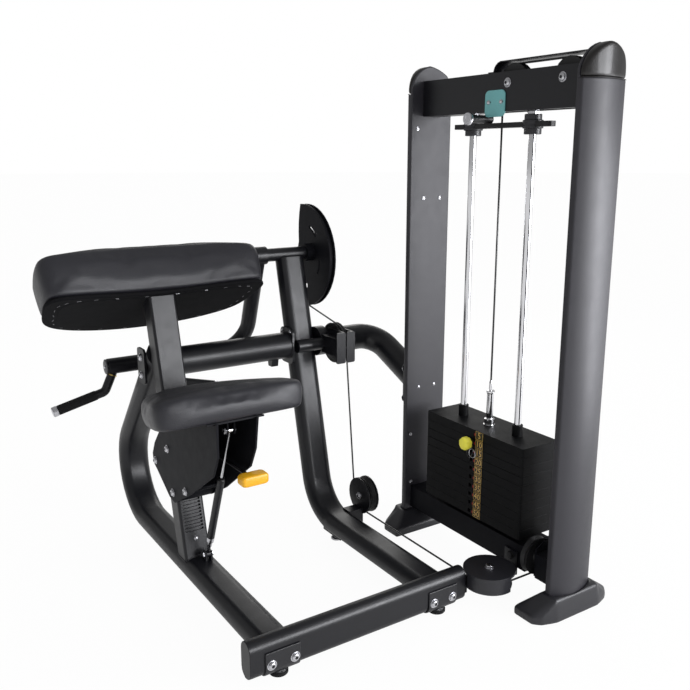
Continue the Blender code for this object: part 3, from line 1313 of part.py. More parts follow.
def make_grip(pivot, side, name):
    """A cranked grip, its root cut to sit under the arm's bar."""
    root = (side * GRIP_ROOT_X, ARM_Y, ARM_Z)
    bend = (side * GRIP_BEND_X, ARM_Y, GRIP_BEND_Z)
    end = (side * GRIP_END_X, ARM_Y, GRIP_END_Z)
    grip = as_mesh(tube(bent([root, bend, end], GRIP_FILLET, 6), GRIP_RADIUS, 4))
    line = (Vector(end) - Vector(bend)).normalized()
    start = Vector(end) - line * GRIP_CAP_TALL
    join(grip, rod(start, Vector(end) + line * GAP * 2, GRIP_RADIUS + GAP * 4, ROUND))
    cut(grip, rod((ARM_LEFT - REACH, ARM_Y, ARM_Z), (ARM_X, ARM_Y, ARM_Z), ARM_RADIUS + GAP))
    keep(grip, name, BLACK_PAINT, pivot)


# Pads, seat and its carriage


def pad_frame(up=0.0):
    """The arm pad's own frame, in the middle of its plan, up from the underside of its board."""
    return slope_frame(PAD_NEAR + PAD_ALONG * PAD_MIDDLE + PAD_UP * up, PAD_ALONG, PAD_UP)


def make_arm_pad():
    """The arm pad: a board with the pad's own bowed plan, and the padding on it."""
    steps = 9
    side = [-1 + 2 * i / steps for i in range(steps)]
    square = [(t, -1) for t in side] + [(1, t) for t in side]
    square += [(-t, 1) for t in side] + [(-1, -t) for t in side]
    share = PAD_BOARD_SHARE
    outline = [in_plan(a * share, b * share, PAD_FORM) for a, b in square]
    board = slab(outline, 0, PAD_BOARD)
    board.matrix_world = pad_frame() @ board.matrix_world
    keep(board, "arm_pad_board", BOARD)
    keep(cushion(PAD_FORM, pad_frame(PAD_BOARD + GAP)), "arm_pad", LEATHER)


def seat_frame(along=0.0, up=0.0):
    """The seat's own frame, square to the main post, from the middle of its rear edge."""
    origin = SEAT_REAR + POST_OUT * along + POST_AXIS * up
    return slope_frame(origin, POST_OUT, POST_AXIS)


def make_seat(pivot):
    half = SEAT_DEEP / 2
    keep(cushion(SEAT_FORM, seat_frame(half)), "seat_pad", LEATHER, pivot)


def seat_yz(along, up):
    place = seat_frame() @ Vector((0, along, up))
    return (place.y, place.z)


def carriage_outline(relief=0.0):
    """A carriage plate in (y, z). The relief draws its rear edge in, over the lever's grip."""
    low_y = post_front_y(LOW_ROLLER_Z) - FRONT_ROLLER_RADIUS
    tail_y = post_back_y(BACK_ROLLER_Z) + BACK_ROLLER_RADIUS * 2
    return [
        seat_yz(0.010, -GAP - CARRIAGE_TOP / 2),
        (SEAT_REAR_Y + 0.011 + relief, SEAT_REAR_Z - 0.095),
        (SEAT_REAR_Y + 0.044 + relief, SEAT_REAR_Z - 0.156),
        (low_y - 0.116, LOW_ROLLER_Z + 0.030),
        (low_y - 0.010, LOW_ROLLER_Z - 0.029),
        (low_y + 0.030, LOW_ROLLER_Z - 0.024),
        (tail_y - 0.026, BACK_ROLLER_Z - 0.026),
        (tail_y, BACK_ROLLER_Z - 0.014),
        (tail_y + 0.004, BACK_ROLLER_Z + 0.016),
        (tail_y - 0.018, BACK_ROLLER_Z + 0.055),
        (tail_y - 0.060, BACK_ROLLER_Z + 0.100),
        seat_yz(SEAT_DEEP + 0.010, -CARRIAGE_TOP),
        seat_yz(SEAT_DEEP - 0.030, -GAP - CARRIAGE_TOP / 2),
    ]


def make_carriage(pivot):
    """Two plates that straddle the main post, the bushes between them, and the seat's top plate."""
    inner = CARRIAGE_HALF - CARRIAGE_PLATE / 2
    outer = CARRIAGE_HALF + CARRIAGE_PLATE / 2
    carriage = slab(carriage_outline(), -outer, -inner, ALONG_X)
    join(carriage, slab(carriage_outline(GRIP_RELIEF), inner, outer, ALONG_X))
    top = box((-outer - REACH, REACH, -CARRIAGE_TOP - GAP), (outer + REACH, SEAT_DEEP - REACH * 2, -GAP))
    top.matrix_world = seat_frame()
    join(carriage, top)
    low_y = post_front_y(LOW_ROLLER_Z) - (FRONT_ROLLER_RADIUS + SLIDE_GAP) / math.cos(POST_LEAN)
    back_y = post_back_y(BACK_ROLLER_Z) + (BACK_ROLLER_RADIUS + SLIDE_GAP) / math.cos(POST_LEAN)
    bars = [
        (low_y, LOW_ROLLER_Z, FRONT_ROLLER_RADIUS),
        (back_y, BACK_ROLLER_Z, BACK_ROLLER_RADIUS),
        (low_y - 0.097, LOW_ROLLER_Z + 0.038, LEVER_PIN_RADIUS),
        (LEVER_Y, LEVER_Z, LEVER_PIN_RADIUS),
    ]
    sunk = inner + CARRIAGE_PLATE / 4
    for y, z, radius in bars:
        join(carriage, rod((-sunk, y, z), (sunk, y, z), radius, ROUND if radius > AXLE_RADIUS else SMALL_ROUND))
        head_start = (-outer + CARRIAGE_PLATE / 4, y, z)
        head_end = (-outer - BOLT_HEAD_TALL, y, z)
        join(carriage, rod(head_start, head_end, BOLT_HEAD_RADIUS, SMALL_ROUND, BOLT_HEAD_RADIUS * 0.7))
    reach = SPRING_EYE_RADIUS
    under = seat_yz((SPRING_HEAD_Y + reach - SEAT_REAR_Y) / math.cos(POST_LEAN), -CARRIAGE_TOP / 2)[1]
    for side in (-1, 1):
        start = SPRING_X + side * (SPRING_EYE_WIDE / 2 + 2 * SLIDE_GAP)
        low, high = sorted((start, start + side * FORK_WALL))
        cheek_low = (low, SPRING_HEAD_Y - reach, SPRING_HEAD_Z - reach)
        join(carriage, box(cheek_low, (high, SPRING_HEAD_Y + reach, under)))
    keep(carriage, "seat_carriage", BLACK_PAINT, pivot)


def pawl_point(out, up=0.0):
    """A point of the pawl in (y, z): out from the post's front face, and up along it from its slot."""
    middle = SLOT_FIRST + PAWL_SLOT * SLOT_PITCH
    place = post_frame() @ Vector((0, -POST_DEEP / 2 - out, middle + up))
    return (place.y, place.z)


def make_lever(pivot):
    """The release lever: a pawl that stands just clear of the post's slots, a rod, and a moulded grip."""
    hub_right = LEVER_X + LEVER_ROD_RADIUS
    pawl_half = SLOT_WIDE / 2 - 0.004
    hub = rod((-pawl_half - 0.002, LEVER_Y, LEVER_Z), (hub_right, LEVER_Y, LEVER_Z), LEVER_HUB_RADIUS)
    outline = [
        (LEVER_Y - 0.010, LEVER_Z),
        pawl_point(0.012, -PAWL_THICK / 2),
        pawl_point(PAWL_CLEAR, -PAWL_THICK / 2),
        pawl_point(PAWL_CLEAR, PAWL_THICK / 2),
        (LEVER_Y + 0.006, LEVER_Z),
    ]
    join(hub, slab(outline, -pawl_half, pawl_half, ALONG_X))
    grip_low = (LEVER_GRIP_LEFT, LEVER_GRIP_Y, LEVER_GRIP_Z)
    size = Vector((LEVER_GRIP_LONG, LEVER_GRIP_DEEP, LEVER_GRIP_TALL))
    start = (LEVER_X, LEVER_Y - LEVER_HUB_RADIUS / 2, LEVER_Z)
    end = (LEVER_X, LEVER_GRIP_Y + LEVER_GRIP_DEEP / 2, LEVER_GRIP_Z + LEVER_GRIP_TALL / 2)
    join(hub, rod(start, end, LEVER_ROD_RADIUS, SMALL_ROUND))
    grip = box(grip_low, Vector(grip_low) + size)
    round_grip = grip.modifiers.new("round", "BEVEL")
    round_grip.width = 0.007
    round_grip.segments = 2
    join(hub, grip)
    bore = LEVER_PIN_RADIUS + GAP
    cut(hub, rod((-CARRIAGE_HALF, LEVER_Y, LEVER_Z), (CARRIAGE_HALF, LEVER_Y, LEVER_Z), bore, SMALL_ROUND))
    keep(hub, "release_lever", YELLOW, pivot)


def spring_point(along):
    return SPRING_FOOT + (SPRING_HEAD - SPRING_FOOT).normalized() * along


def make_gas_spring(pivot, rod_pivot):
    """The gas spring: an eye and a bored body on the spine, and a rod that slides in the bore."""
    half = Vector((SPRING_EYE_WIDE / 2, 0, 0))
    length = (SPRING_HEAD - SPRING_FOOT).length
    body = rod(SPRING_FOOT - half, SPRING_FOOT + half, SPRING_EYE_RADIUS, ROUND)
    join(body, rod(spring_point(0.003), spring_point(SPRING_NECK_END + GAP), SPRING_NECK_RADIUS, SMALL_ROUND))
    join(body, rod(spring_point(SPRING_NECK_END), spring_point(SPRING_BODY_END), SPRING_BODY_RADIUS, ROUND))
    bore = SPRING_ROD_RADIUS + SLIDE_GAP
    cut(body, rod(spring_point(SPRING_BORE_START), spring_point(SPRING_BODY_END + REACH), bore, SMALL_ROUND))
    hole = SPRING_PIN_RADIUS + GAP
    cut(body, rod(SPRING_FOOT - half * 2, SPRING_FOOT + half * 2, hole, SMALL_ROUND))
    keep(body, "gas_spring_body", BLACK_PAINT, pivot)
    shaft = rod(spring_point(SPRING_ROD_START), spring_point(length), SPRING_ROD_RADIUS, SMALL_ROUND)
    join(shaft, rod(SPRING_HEAD - half, SPRING_HEAD + half, SPRING_EYE_RADIUS * 0.8, ROUND))
    keep(shaft, "gas_spring_rod", CHROME, rod_pivot)


# Weight stack


def stack_outline():
    return rounded_box(STACK_WIDE, STACK_LONG, 0.006, (TOWER_X, STACK_Y), 2)


def stack_holes():
    holes = [circle(place, ROD_RADIUS + PLATE_PLAY, SMALL_ROUND) for place in rod_places()]
    return holes + [circle((TOWER_X, STACK_Y), STEM_RADIUS + PIN_PLAY, SMALL_ROUND)]


def pin_height(i):
    return STACK_BASE + (i + 0.5) * PLATE_PITCH


def pin_cutter(z, clear):
    """The square way that the selector pin takes, from a plate's left side to the stem."""
    reach = PIN_RADIUS + clear
    left = TOWER_X - STACK_WIDE / 2 - REACH
    return box((left, STACK_Y - reach, z - reach), (TOWER_X, STACK_Y + reach, z + reach))


def make_plates(pivot):
    for i in range(PLATE_COUNT):
        low = STACK_BASE + i * PLATE_PITCH
        plate = slab(stack_outline(), low, low + PLATE_PITCH - GAP, holes=stack_holes())
        cut(plate, pin_cutter(pin_height(i), PIN_PLAY))
        top = i == PLATE_COUNT - 1
        keep(plate, f"weight_plate_{PLATE_COUNT - i:02d}", CAST_IRON, pivot if top else None)
    low = STACK_TOP
    head = slab(stack_outline(), low, low + PLATE_PITCH)
    below, above = low - REACH, low + PLATE_PITCH + SLEEVE_TALL + REACH
    for place in rod_places():
        sleeve_top = low + PLATE_PITCH + SLEEVE_TALL
        join(head, rod((*place, low + PLATE_PITCH / 2), (*place, sleeve_top), ROD_RADIUS + SLEEVE_WALL))
    for place in rod_places():
        cut(head, rod((*place, below), (*place, above), ROD_RADIUS + PLATE_PLAY))
    stem_place = (TOWER_X, STACK_Y)
    cut(head, rod((*stem_place, below), (*stem_place, above), STEM_RADIUS + GAP))
    keep(head, "head_plate", CAST_IRON, pivot)


def make_stem(pivot):
    """The selector stem: it hangs through the plates and has a cross hole at each one."""
    top = STACK_TOP + PLATE_PITCH
    nut = STEM_RADIUS * 1.3
    profile = [
        (0, STEM_TOP), (0.006, STEM_TOP), (0.006, STEM_TOP - 0.022), (0.0085, STEM_TOP - 0.024),
        (0.0085, top + 0.022), (nut, top + 0.020), (nut, top + GAP), (STEM_RADIUS, top + GAP),
        (STEM_RADIUS, STACK_BASE + GAP), (0, STACK_BASE + GAP),
    ]
    mesh_top = turned(profile, (TOWER_X, STACK_Y, 0), bored=False)
    for i in range(PLATE_COUNT):
        z = pin_height(i)
        reach = PIN_RADIUS + PIN_PLAY / 2
        tool = box((TOWER_X - REACH, STACK_Y - reach, z - reach), (TOWER_X + REACH, STACK_Y + reach, z + reach))
        cut(mesh_top, tool)
    keep(mesh_top, "selector_stem", STEEL, pivot)


def make_pin(pivot):
    """The selector pin in the top plate, with its moulded knob."""
    z = pin_height(PLATE_COUNT - 1)
    left = TOWER_X - STACK_WIDE / 2
    pin = rod((left - 0.02, STACK_Y, z), (TOWER_X + STEM_RADIUS / 2, STACK_Y, z), PIN_RADIUS, SMALL_ROUND)
    neck = rod((left - 0.020, STACK_Y, z), (left - GAP, STACK_Y, z), PIN_KNOB_RADIUS * 0.55)
    knob = rod((left - 0.036, STACK_Y, z), (left - 0.012, STACK_Y, z), PIN_KNOB_RADIUS)
    rim = knob.modifiers.new("round", "BEVEL")
    rim.width = 0.006
    rim.segments = 2
    rim.limit_method = "ANGLE"
    join(pin, neck, knob)
    keep(pin, "selector_pin", YELLOW, pivot)


def main():
    make_crossbar()
    make_saddle("spine_saddle", SPINE_X)
    make_saddle("side_saddle", SIDE_X)
    make_spine()
    make_main_post()
    make_side_tube()
    make_heel_foot()
    make_cross_tube()
    make_bearing()
    make_guide_bracket()
    make_link_tube()
    make_tower_posts()
    make_top_beam()
    make_top_guard()
    make_cable_plate()
    make_yoke()
    make_guide_rods()
    make_base_tray()
    make_stack_buffer()
    make_corner_bracket()
    make_corner_cover()
    make_pulleys()
    make_cable()
    curl = pivot_at("curl_pivot", PIVOT)
    make_cam(curl)
    make_curl_arm(curl)
    make_grip(curl, -1, "grip_left")
    make_grip(curl, 1, "grip_right")
    make_arm_pad()
    slide = pivot_at("seat_slide", SEAT_REAR)
    make_seat(slide)
    make_carriage(slide)
    make_lever(pivot_at("lever_pivot", (SPINE_X, LEVER_Y, LEVER_Z), slide))
    spring = pivot_at("gas_spring_pivot", SPRING_FOOT)
    make_gas_spring(spring, pivot_at("gas_rod_slide", SPRING_HEAD, spring))
    lift = pivot_at("stack_lift", (TOWER_X, STACK_Y, STACK_TOP))
    make_plates(lift)
    make_stem(lift)
    make_pin(pivot_at("pin_slide", (TOWER_X, STACK_Y, pin_height(PLATE_COUNT - 1)), lift))


clear_scene()
MACHINE = new_collection("biceps_machine")
TOOLS = new_collection("cutters")
TOOLS.hide_render = True
main()
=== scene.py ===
"""The looks of a biceps curl machine: finishes, padding, fasteners, welds, labels, light and camera.

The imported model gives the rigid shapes. This script rounds their edges, dresses them, puts padded
cushions in the place of the plain ones, and adds the small pieces that the solids leave out.
Positions are metres in the model's own frame: +Z up, +X to the seated user's right, +Y to the front.
"""

import json
import logging
import math
from dataclasses import dataclass
from enum import Enum

import bmesh
import bpy
from mathutils import Matrix, Vector, noise


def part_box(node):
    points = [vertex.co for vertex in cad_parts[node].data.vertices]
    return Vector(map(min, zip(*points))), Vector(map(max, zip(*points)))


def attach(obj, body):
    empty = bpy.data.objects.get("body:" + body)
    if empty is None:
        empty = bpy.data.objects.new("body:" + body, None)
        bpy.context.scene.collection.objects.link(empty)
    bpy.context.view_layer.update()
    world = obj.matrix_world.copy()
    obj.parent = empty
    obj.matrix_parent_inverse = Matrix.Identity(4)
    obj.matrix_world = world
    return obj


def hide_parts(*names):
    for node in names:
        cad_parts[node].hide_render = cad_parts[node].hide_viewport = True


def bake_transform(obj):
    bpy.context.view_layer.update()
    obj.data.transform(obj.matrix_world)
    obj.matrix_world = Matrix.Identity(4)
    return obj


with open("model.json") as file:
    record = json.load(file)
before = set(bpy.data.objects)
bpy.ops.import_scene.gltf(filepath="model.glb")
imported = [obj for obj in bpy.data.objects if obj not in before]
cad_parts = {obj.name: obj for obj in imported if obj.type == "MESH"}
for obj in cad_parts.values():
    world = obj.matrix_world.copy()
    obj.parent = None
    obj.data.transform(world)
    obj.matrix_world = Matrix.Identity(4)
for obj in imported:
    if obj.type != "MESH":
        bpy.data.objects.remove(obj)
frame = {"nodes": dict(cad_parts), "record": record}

LOG = logging.getLogger("biceps_machine")

Point = tuple[float, float, float]
Flat = tuple[float, float]
Colour = tuple[float, float, float]

STEEL_SLOT = "curl_shaft"
CHROME_SLOT = "guide_rod_near"
PAINT_SLOT = "spine_tube"

TURN = 2 * math.pi
TINY = 1e-6
RING_SIDES = 24
SHARP_ANGLE = 35.0
FLAT_ANGLE = math.radians(0.8)
WELD_DISTANCE = 0.00002
NORMAL_WEIGHT = 80
MITRE_START = Vector((0.31, 0.52, 0.79))

COAT_ROUGHNESS = 0.12
DRIFT_WAVES = 9.0
SCUFF_WAVES = 120.0
SCUFF_START, SCUFF_FULL = 0.66, 0.74
GLOSS_WAVES = 34.0
GLOSSIEST = 0.02
GRAIN_RISE = 0.6


# Finishes


class Grain(Enum):
    """The small relief of a finish."""

    SMOOTH = "smooth"
    ORANGE_PEEL = "orange peel"
    PEBBLE = "pebble"
    CAST = "cast"
    BRUSHED = "brushed"
    WEAVE = "weave"
    STRANDS = "strands"


@dataclass(frozen=True)
class Finish:
    """One finish, made of procedural nodes that follow the object's own coordinates."""

    name: str
    colour: Colour
    roughness: float
    metallic: float = 0.0
    specular: float = 0.5
    grain: Grain = Grain.SMOOTH
    grain_size: float = 0.001
    relief: float = 0.1
    variation: float = 0.12
    spread: float = 0.06
    coat: float = 0.0
    scuffs: float = 0.0

    def material(self) -> bpy.types.Material:
        """Makes the finish's material once, and gives it again on later calls.

        Returns:
            The material, shared by every piece with this finish.
        """
        if self.name in bpy.data.materials:
            return bpy.data.materials[self.name]
        made = bpy.data.materials.new(self.name)
        made.use_nodes = True
        tree = made.node_tree
        shader = tree.nodes["Principled BSDF"]
        shader.inputs["Metallic"].default_value = self.metallic
        shader.inputs["Specular IOR Level"].default_value = self.specular
        shader.inputs["Coat Weight"].default_value = self.coat
        shader.inputs["Coat Roughness"].default_value = COAT_ROUGHNESS
        place = tree.nodes.new("ShaderNodeTexCoord").outputs["Object"]
        self._colour(tree, shader, place)
        self._roughness(tree, shader, place)
        self._relief(tree, shader, place)
        return made

    def _noise(self, tree: bpy.types.NodeTree, place: bpy.types.NodeSocket, scale: float,
               detail: float = 2.0) -> bpy.types.NodeSocket:
        """Adds a noise texture.

        Args:
            tree: the material's nodes.
            place: the coordinates that the noise follows.
            scale: how many waves there are in a metre.
            detail: how many finer octaves it has.

        Returns:
            The noise's value.
        """
        node = tree.nodes.new("ShaderNodeTexNoise")
        node.inputs["Scale"].default_value = scale
        node.inputs["Detail"].default_value = detail
        tree.links.new(place, node.inputs["Vector"])
        return node.outputs["Fac"]

    def _colour(self, tree: bpy.types.NodeTree, shader: bpy.types.Node,
                place: bpy.types.NodeSocket) -> None:
        """Lets the colour drift over the surface, with fine scuffs where the finish has them.

        Args:
            tree: the material's nodes.
            shader: the finish's shader.
            place: the coordinates that the nodes follow.
        """
        mix = tree.nodes.new("ShaderNodeMix")
        mix.data_type = "RGBA"
        mix.inputs["A"].default_value = (*[c * (1 - self.variation) for c in self.colour], 1)
        mix.inputs["B"].default_value = (*[min(c * (1 + self.variation), 1) for c in self.colour], 1)
        tree.links.new(self._noise(tree, place, DRIFT_WAVES, detail=4.0), mix.inputs["Factor"])
        result = mix.outputs["Result"]
        if self.scuffs > 0:
            ramp = tree.nodes.new("ShaderNodeMapRange")
            ramp.inputs["From Min"].default_value = SCUFF_START
            ramp.inputs["From Max"].default_value = SCUFF_FULL
            ramp.inputs["To Max"].default_value = self.scuffs
            tree.links.new(self._noise(tree, place, SCUFF_WAVES, detail=5.0), ramp.inputs["Value"])
            worn = tree.nodes.new("ShaderNodeMix")
            worn.data_type = "RGBA"
            worn.inputs["B"].default_value = (*[min(c * 1.8 + 0.03, 1) for c in self.colour], 1)
            tree.links.new(ramp.outputs["Result"], worn.inputs["Factor"])
            tree.links.new(result, worn.inputs["A"])
            result = worn.outputs["Result"]
        tree.links.new(result, shader.inputs["Base Color"])

    def _roughness(self, tree: bpy.types.NodeTree, shader: bpy.types.Node,
                   place: bpy.types.NodeSocket) -> None:
        """Lets the gloss drift a little over the surface.

        Args:
            tree: the material's nodes.
            shader: the finish's shader.
            place: the coordinates that the nodes follow.
        """
        spread = tree.nodes.new("ShaderNodeMapRange")
        spread.inputs["To Min"].default_value = max(self.roughness - self.spread, GLOSSIEST)
        spread.inputs["To Max"].default_value = min(self.roughness + self.spread, 1.0)
        tree.links.new(self._noise(tree, place, GLOSS_WAVES, detail=3.0), spread.inputs["Value"])
        tree.links.new(spread.outputs["Result"], shader.inputs["Roughness"])

    def _height(self, tree: bpy.types.NodeTree, place: bpy.types.NodeSocket) -> bpy.types.NodeSocket:
        """The height that the finish's grain gives, at the grain's own size.

        Args:
            tree: the material's nodes.
            place: the coordinates that the nodes follow.

        Returns:
            The grain's height.
        """
        scale = 1 / self.grain_size
        if self.grain is Grain.PEBBLE:
            cells = tree.nodes.new("ShaderNodeTexVoronoi")
            cells.feature = "DISTANCE_TO_EDGE"
            cells.inputs["Scale"].default_value = scale
            tree.links.new(place, cells.inputs["Vector"])
            folds = tree.nodes.new("ShaderNodeMath")
            folds.operation = "MULTIPLY_ADD"
            folds.inputs[1].default_value = 1.6
            tree.links.new(self._noise(tree, place, scale / 14, detail=4.0), folds.inputs[0])
            tree.links.new(cells.outputs["Distance"], folds.inputs[2])
            return folds.outputs[0]
        if self.grain in (Grain.BRUSHED, Grain.STRANDS, Grain.WEAVE):
            wave = tree.nodes.new("ShaderNodeTexWave")
            wave.wave_type = "BANDS"
            wave.bands_direction = "DIAGONAL" if self.grain is Grain.STRANDS else "Z"
            wave.inputs["Scale"].default_value = scale / 6
            wave.inputs["Distortion"].default_value = 6.0 if self.grain is Grain.BRUSHED else 0.4
            wave.inputs["Detail"].default_value = 3.0
            tree.links.new(place, wave.inputs["Vector"])
            return wave.outputs["Fac"]
        return self._noise(tree, place, scale, 5.0 if self.grain is Grain.CAST else 1.0)

    def _relief(self, tree: bpy.types.NodeTree, shader: bpy.types.Node,
                place: bpy.types.NodeSocket) -> None:
        """Raises the grain from the surface.

        Args:
            tree: the material's nodes.
            shader: the finish's shader.
            place: the coordinates that the nodes follow.
        """
        if self.grain is Grain.SMOOTH:
            return
        bump = tree.nodes.new("ShaderNodeBump")
        bump.inputs["Strength"].default_value = self.relief
        bump.inputs["Distance"].default_value = self.grain_size * GRAIN_RISE
        tree.links.new(self._height(tree, place), bump.inputs["Height"])
        tree.links.new(bump.outputs["Normal"], shader.inputs["Normal"])


BLACK_PAINT = Finish(
    "black_powder_coat", (0.0060, 0.0062, 0.0086), 0.36, specular=0.42, grain=Grain.ORANGE_PEEL,
    grain_size=0.0016, relief=0.16, scuffs=0.10,
)
SATIN_PAINT = Finish(
    "satin_sheet_coat", (0.0062, 0.0064, 0.0088), 0.55, specular=0.10, grain=Grain.ORANGE_PEEL,
    grain_size=0.0016, relief=0.16, scuffs=0.10,
)
# The uprights' black paint with its base colour lifted: painted light for the lit faces of the posts, which
# are the frame's own black.
BLACK_PAINT_PAINTED_LIGHT = Finish(
    "black_coat_painted_light", (0.0200, 0.0192, 0.0250), 0.52, specular=0.5, grain=Grain.ORANGE_PEEL,
    grain_size=0.0013, relief=0.2, variation=0.07, scuffs=0.06,
)
DARK_GRAPHITE = Finish(
    "dark_graphite_coat", (0.0110, 0.0110, 0.0135), 0.38, specular=0.45, grain=Grain.ORANGE_PEEL,
    grain_size=0.0013, relief=0.2, variation=0.08, scuffs=0.06,
)
GLOSSY_MOULDING = Finish(
    "glossy_moulded_cap", (0.0090, 0.0080, 0.0078), 0.36, specular=0.34, coat=0.08, grain=Grain.ORANGE_PEEL,
    grain_size=0.004, relief=0.10,
)
MATT_MOULDING = Finish(
    "moulded_boot", (0.0160, 0.0160, 0.0200), 0.40, specular=0.50, grain=Grain.CAST, grain_size=0.0018,
    relief=0.18, scuffs=0.08,
)
NYLON = Finish(
    "black_nylon", (0.012, 0.012, 0.013), 0.40, specular=0.3, grain=Grain.ORANGE_PEEL, grain_size=0.0012,
    relief=0.1,
)
LEATHER = Finish(
    "black_leather", (0.0165, 0.0165, 0.0215), 0.43, specular=0.46, grain=Grain.PEBBLE, grain_size=0.0028,
    relief=0.38, variation=0.14, spread=0.08,
)
# Near-black cloth: the board's real backing, and also a painted shade on the cover's rim round the board.
BACKING_CLOTH_AND_SHADE = Finish(
    "backing_cloth_and_painted_shade", (0.005, 0.005, 0.006), 0.85, specular=0.1, grain=Grain.WEAVE, grain_size=0.0016,
    relief=0.3,
)
RUBBER = Finish(
    "black_rubber", (0.010, 0.010, 0.011), 0.72, specular=0.2, grain=Grain.CAST, grain_size=0.0012,
    relief=0.25,
)
CAST_PLATE = Finish(
    "painted_plate", (0.0042, 0.0044, 0.0050), 0.52, specular=0.12, grain=Grain.CAST, grain_size=0.0022,
    relief=0.28, scuffs=0.12,
)
CHROME = Finish(
    "polished_chrome", (0.78, 0.78, 0.80), 0.10, metallic=1.0, variation=0.03, spread=0.03,
)
BRIGHT_STEEL = Finish(
    "bright_steel", (0.60, 0.60, 0.63), 0.26, metallic=1.0, grain=Grain.BRUSHED, grain_size=0.0008,
    relief=0.08, variation=0.08,
)
ZINC = Finish(
    "passivated_zinc", (0.17, 0.44, 0.45), 0.34, metallic=0.35, grain=Grain.BRUSHED, grain_size=0.002,
    relief=0.06, variation=0.2,
)
CABLE_COAT = Finish(
    "cable_sheath", (0.014, 0.014, 0.015), 0.30, coat=0.3, grain=Grain.STRANDS, grain_size=0.0022,
    relief=0.25,
)
WARM_YELLOW = Finish(
    "warm_yellow_moulding", (0.83, 0.42, 0.012), 0.34, specular=0.5, grain=Grain.ORANGE_PEEL,
    grain_size=0.002, relief=0.12, variation=0.06,
)
LEMON_YELLOW = Finish(
    "lemon_yellow_moulding", (1.0, 0.90, 0.080), 0.36, grain=Grain.ORANGE_PEEL, grain_size=0.002,
    relief=0.1, variation=0.05,
)
BRASS = Finish("brass_ring", (0.62, 0.47, 0.16), 0.3, metallic=1.0, variation=0.06)
STAPLE = Finish("staple_wire", (0.46, 0.46, 0.48), 0.36, metallic=0.8, variation=0.05)
LABEL_FILM = Finish("label_film", (0.012, 0.011, 0.010), 0.34, variation=0.05)
LABEL_GOLD = Finish("label_gold", (0.72, 0.47, 0.13), 0.42, metallic=0.1, variation=0.10)
LABEL_RED = Finish("label_red", (0.42, 0.012, 0.014), 0.45, variation=0.08)
WELD = Finish(
    "painted_weld", (0.0080, 0.0080, 0.0105), 0.42, specular=0.4, grain=Grain.CAST, grain_size=0.003,
    relief=0.4,
)


# Shapes


def in_x(place: Point, direction: Point) -> Matrix:
    """A frame whose Z points along a direction.

    Args:
        place: the frame's origin.
        direction: where its Z axis points.

    Returns:
        The frame, as a 4 by 4 matrix.
    """
    turn = Vector(direction).to_track_quat("Z", "Y").to_matrix().to_4x4()
    return Matrix.Translation(place) @ turn


def piece_of(name: str, shape: bmesh.types.BMesh) -> bpy.types.Object:
    """Turns a working shape into an object of the scene.

    Args:
        name: the piece's name.
        shape: the shape, which is used up.

    Returns:
        The new object.
    """
    bmesh.ops.recalc_face_normals(shape, faces=shape.faces)
    data = bpy.data.meshes.new(name)
    shape.to_mesh(data)
    shape.free()
    made = bpy.data.objects.new(name, data)
    bpy.context.scene.collection.objects.link(made)
    return made


def shade(piece: bpy.types.Object, degrees: float = SHARP_ANGLE) -> bpy.types.Object:
    """Shades a piece smooth, with sharp edges where its faces meet at more than this angle.

    Args:
        piece: the piece.
        degrees: the angle.

    Returns:
        The same piece.
    """
    piece.data.polygons.foreach_set("use_smooth", [True] * len(piece.data.polygons))
    piece.data.set_sharp_from_angle(angle=math.radians(degrees))
    return piece


def soften(piece: bpy.types.Object, width: float, segments: int = 2, degrees: float = SHARP_ANGLE) -> None:
    """Rounds a piece's sharp edges with a bevel.

    Args:
        piece: the piece.
        width: the bevel's width in metres.
        segments: how many faces the bevel has.
        degrees: edges below this angle stay as they are.
    """
    bevel = piece.modifiers.new("soft edges", "BEVEL")
    bevel.width = width
    bevel.segments = segments
    bevel.limit_method = "ANGLE"
    bevel.angle_limit = math.radians(degrees)


def even_shading(piece: bpy.types.Object) -> None:
    """Lets a piece's large flat faces shade flat, and its small ones shade smooth between them.

    Args:
        piece: the piece.
    """
    normals = piece.modifiers.new("even shading", "WEIGHTED_NORMAL")
    normals.mode = "FACE_AREA"
    normals.weight = NORMAL_WEIGHT
    normals.keep_sharp = True


def bridge(shape: bmesh.types.BMesh, low: list, high: list) -> None:
    """Joins two rings of corners with faces. A ring of one corner is a tip.

    Args:
        shape: the shape that both rings belong to.
        low: the first ring's corners.
        high: the second ring's corners.
    """
    count = max(len(low), len(high))
    for i in range(count):
        j = (i + 1) % count
        corners = [low[i % len(low)], low[j % len(low)], high[j % len(high)], high[i % len(high)]]
        kept = [c for k, c in enumerate(corners) if c not in corners[:k]]
        if len(kept) > 2:
            shape.faces.new(kept)


def turn_form(shape: bmesh.types.BMesh, profile: list[Flat], place: Matrix, sides: int = 32,
              bored: bool = False) -> None:
    """Adds a turned form.

    Args:
        shape: the shape that it is added to.
        profile: radius and height pairs, from the foot to the top.
        place: the frame whose Z is the form's axis.
        sides: how many sides it has.
        bored: True if the profile is a closed loop round a bore.
    """
    rings = []
    for radius, height in profile:
        turns = 1 if radius < TINY else sides
        ring = [TURN * i / sides for i in range(turns)]
        rings.append([
            shape.verts.new(place @ Vector((radius * math.cos(a), radius * math.sin(a), height)))
            for a in ring
        ])
    for low, high in zip(rings, rings[1:]):
        bridge(shape, low, high)
    if bored:
        bridge(shape, rings[-1], rings[0])
        return
    for ring in (rings[0], rings[-1]):
        if len(ring) > 2:
            shape.faces.new(ring)


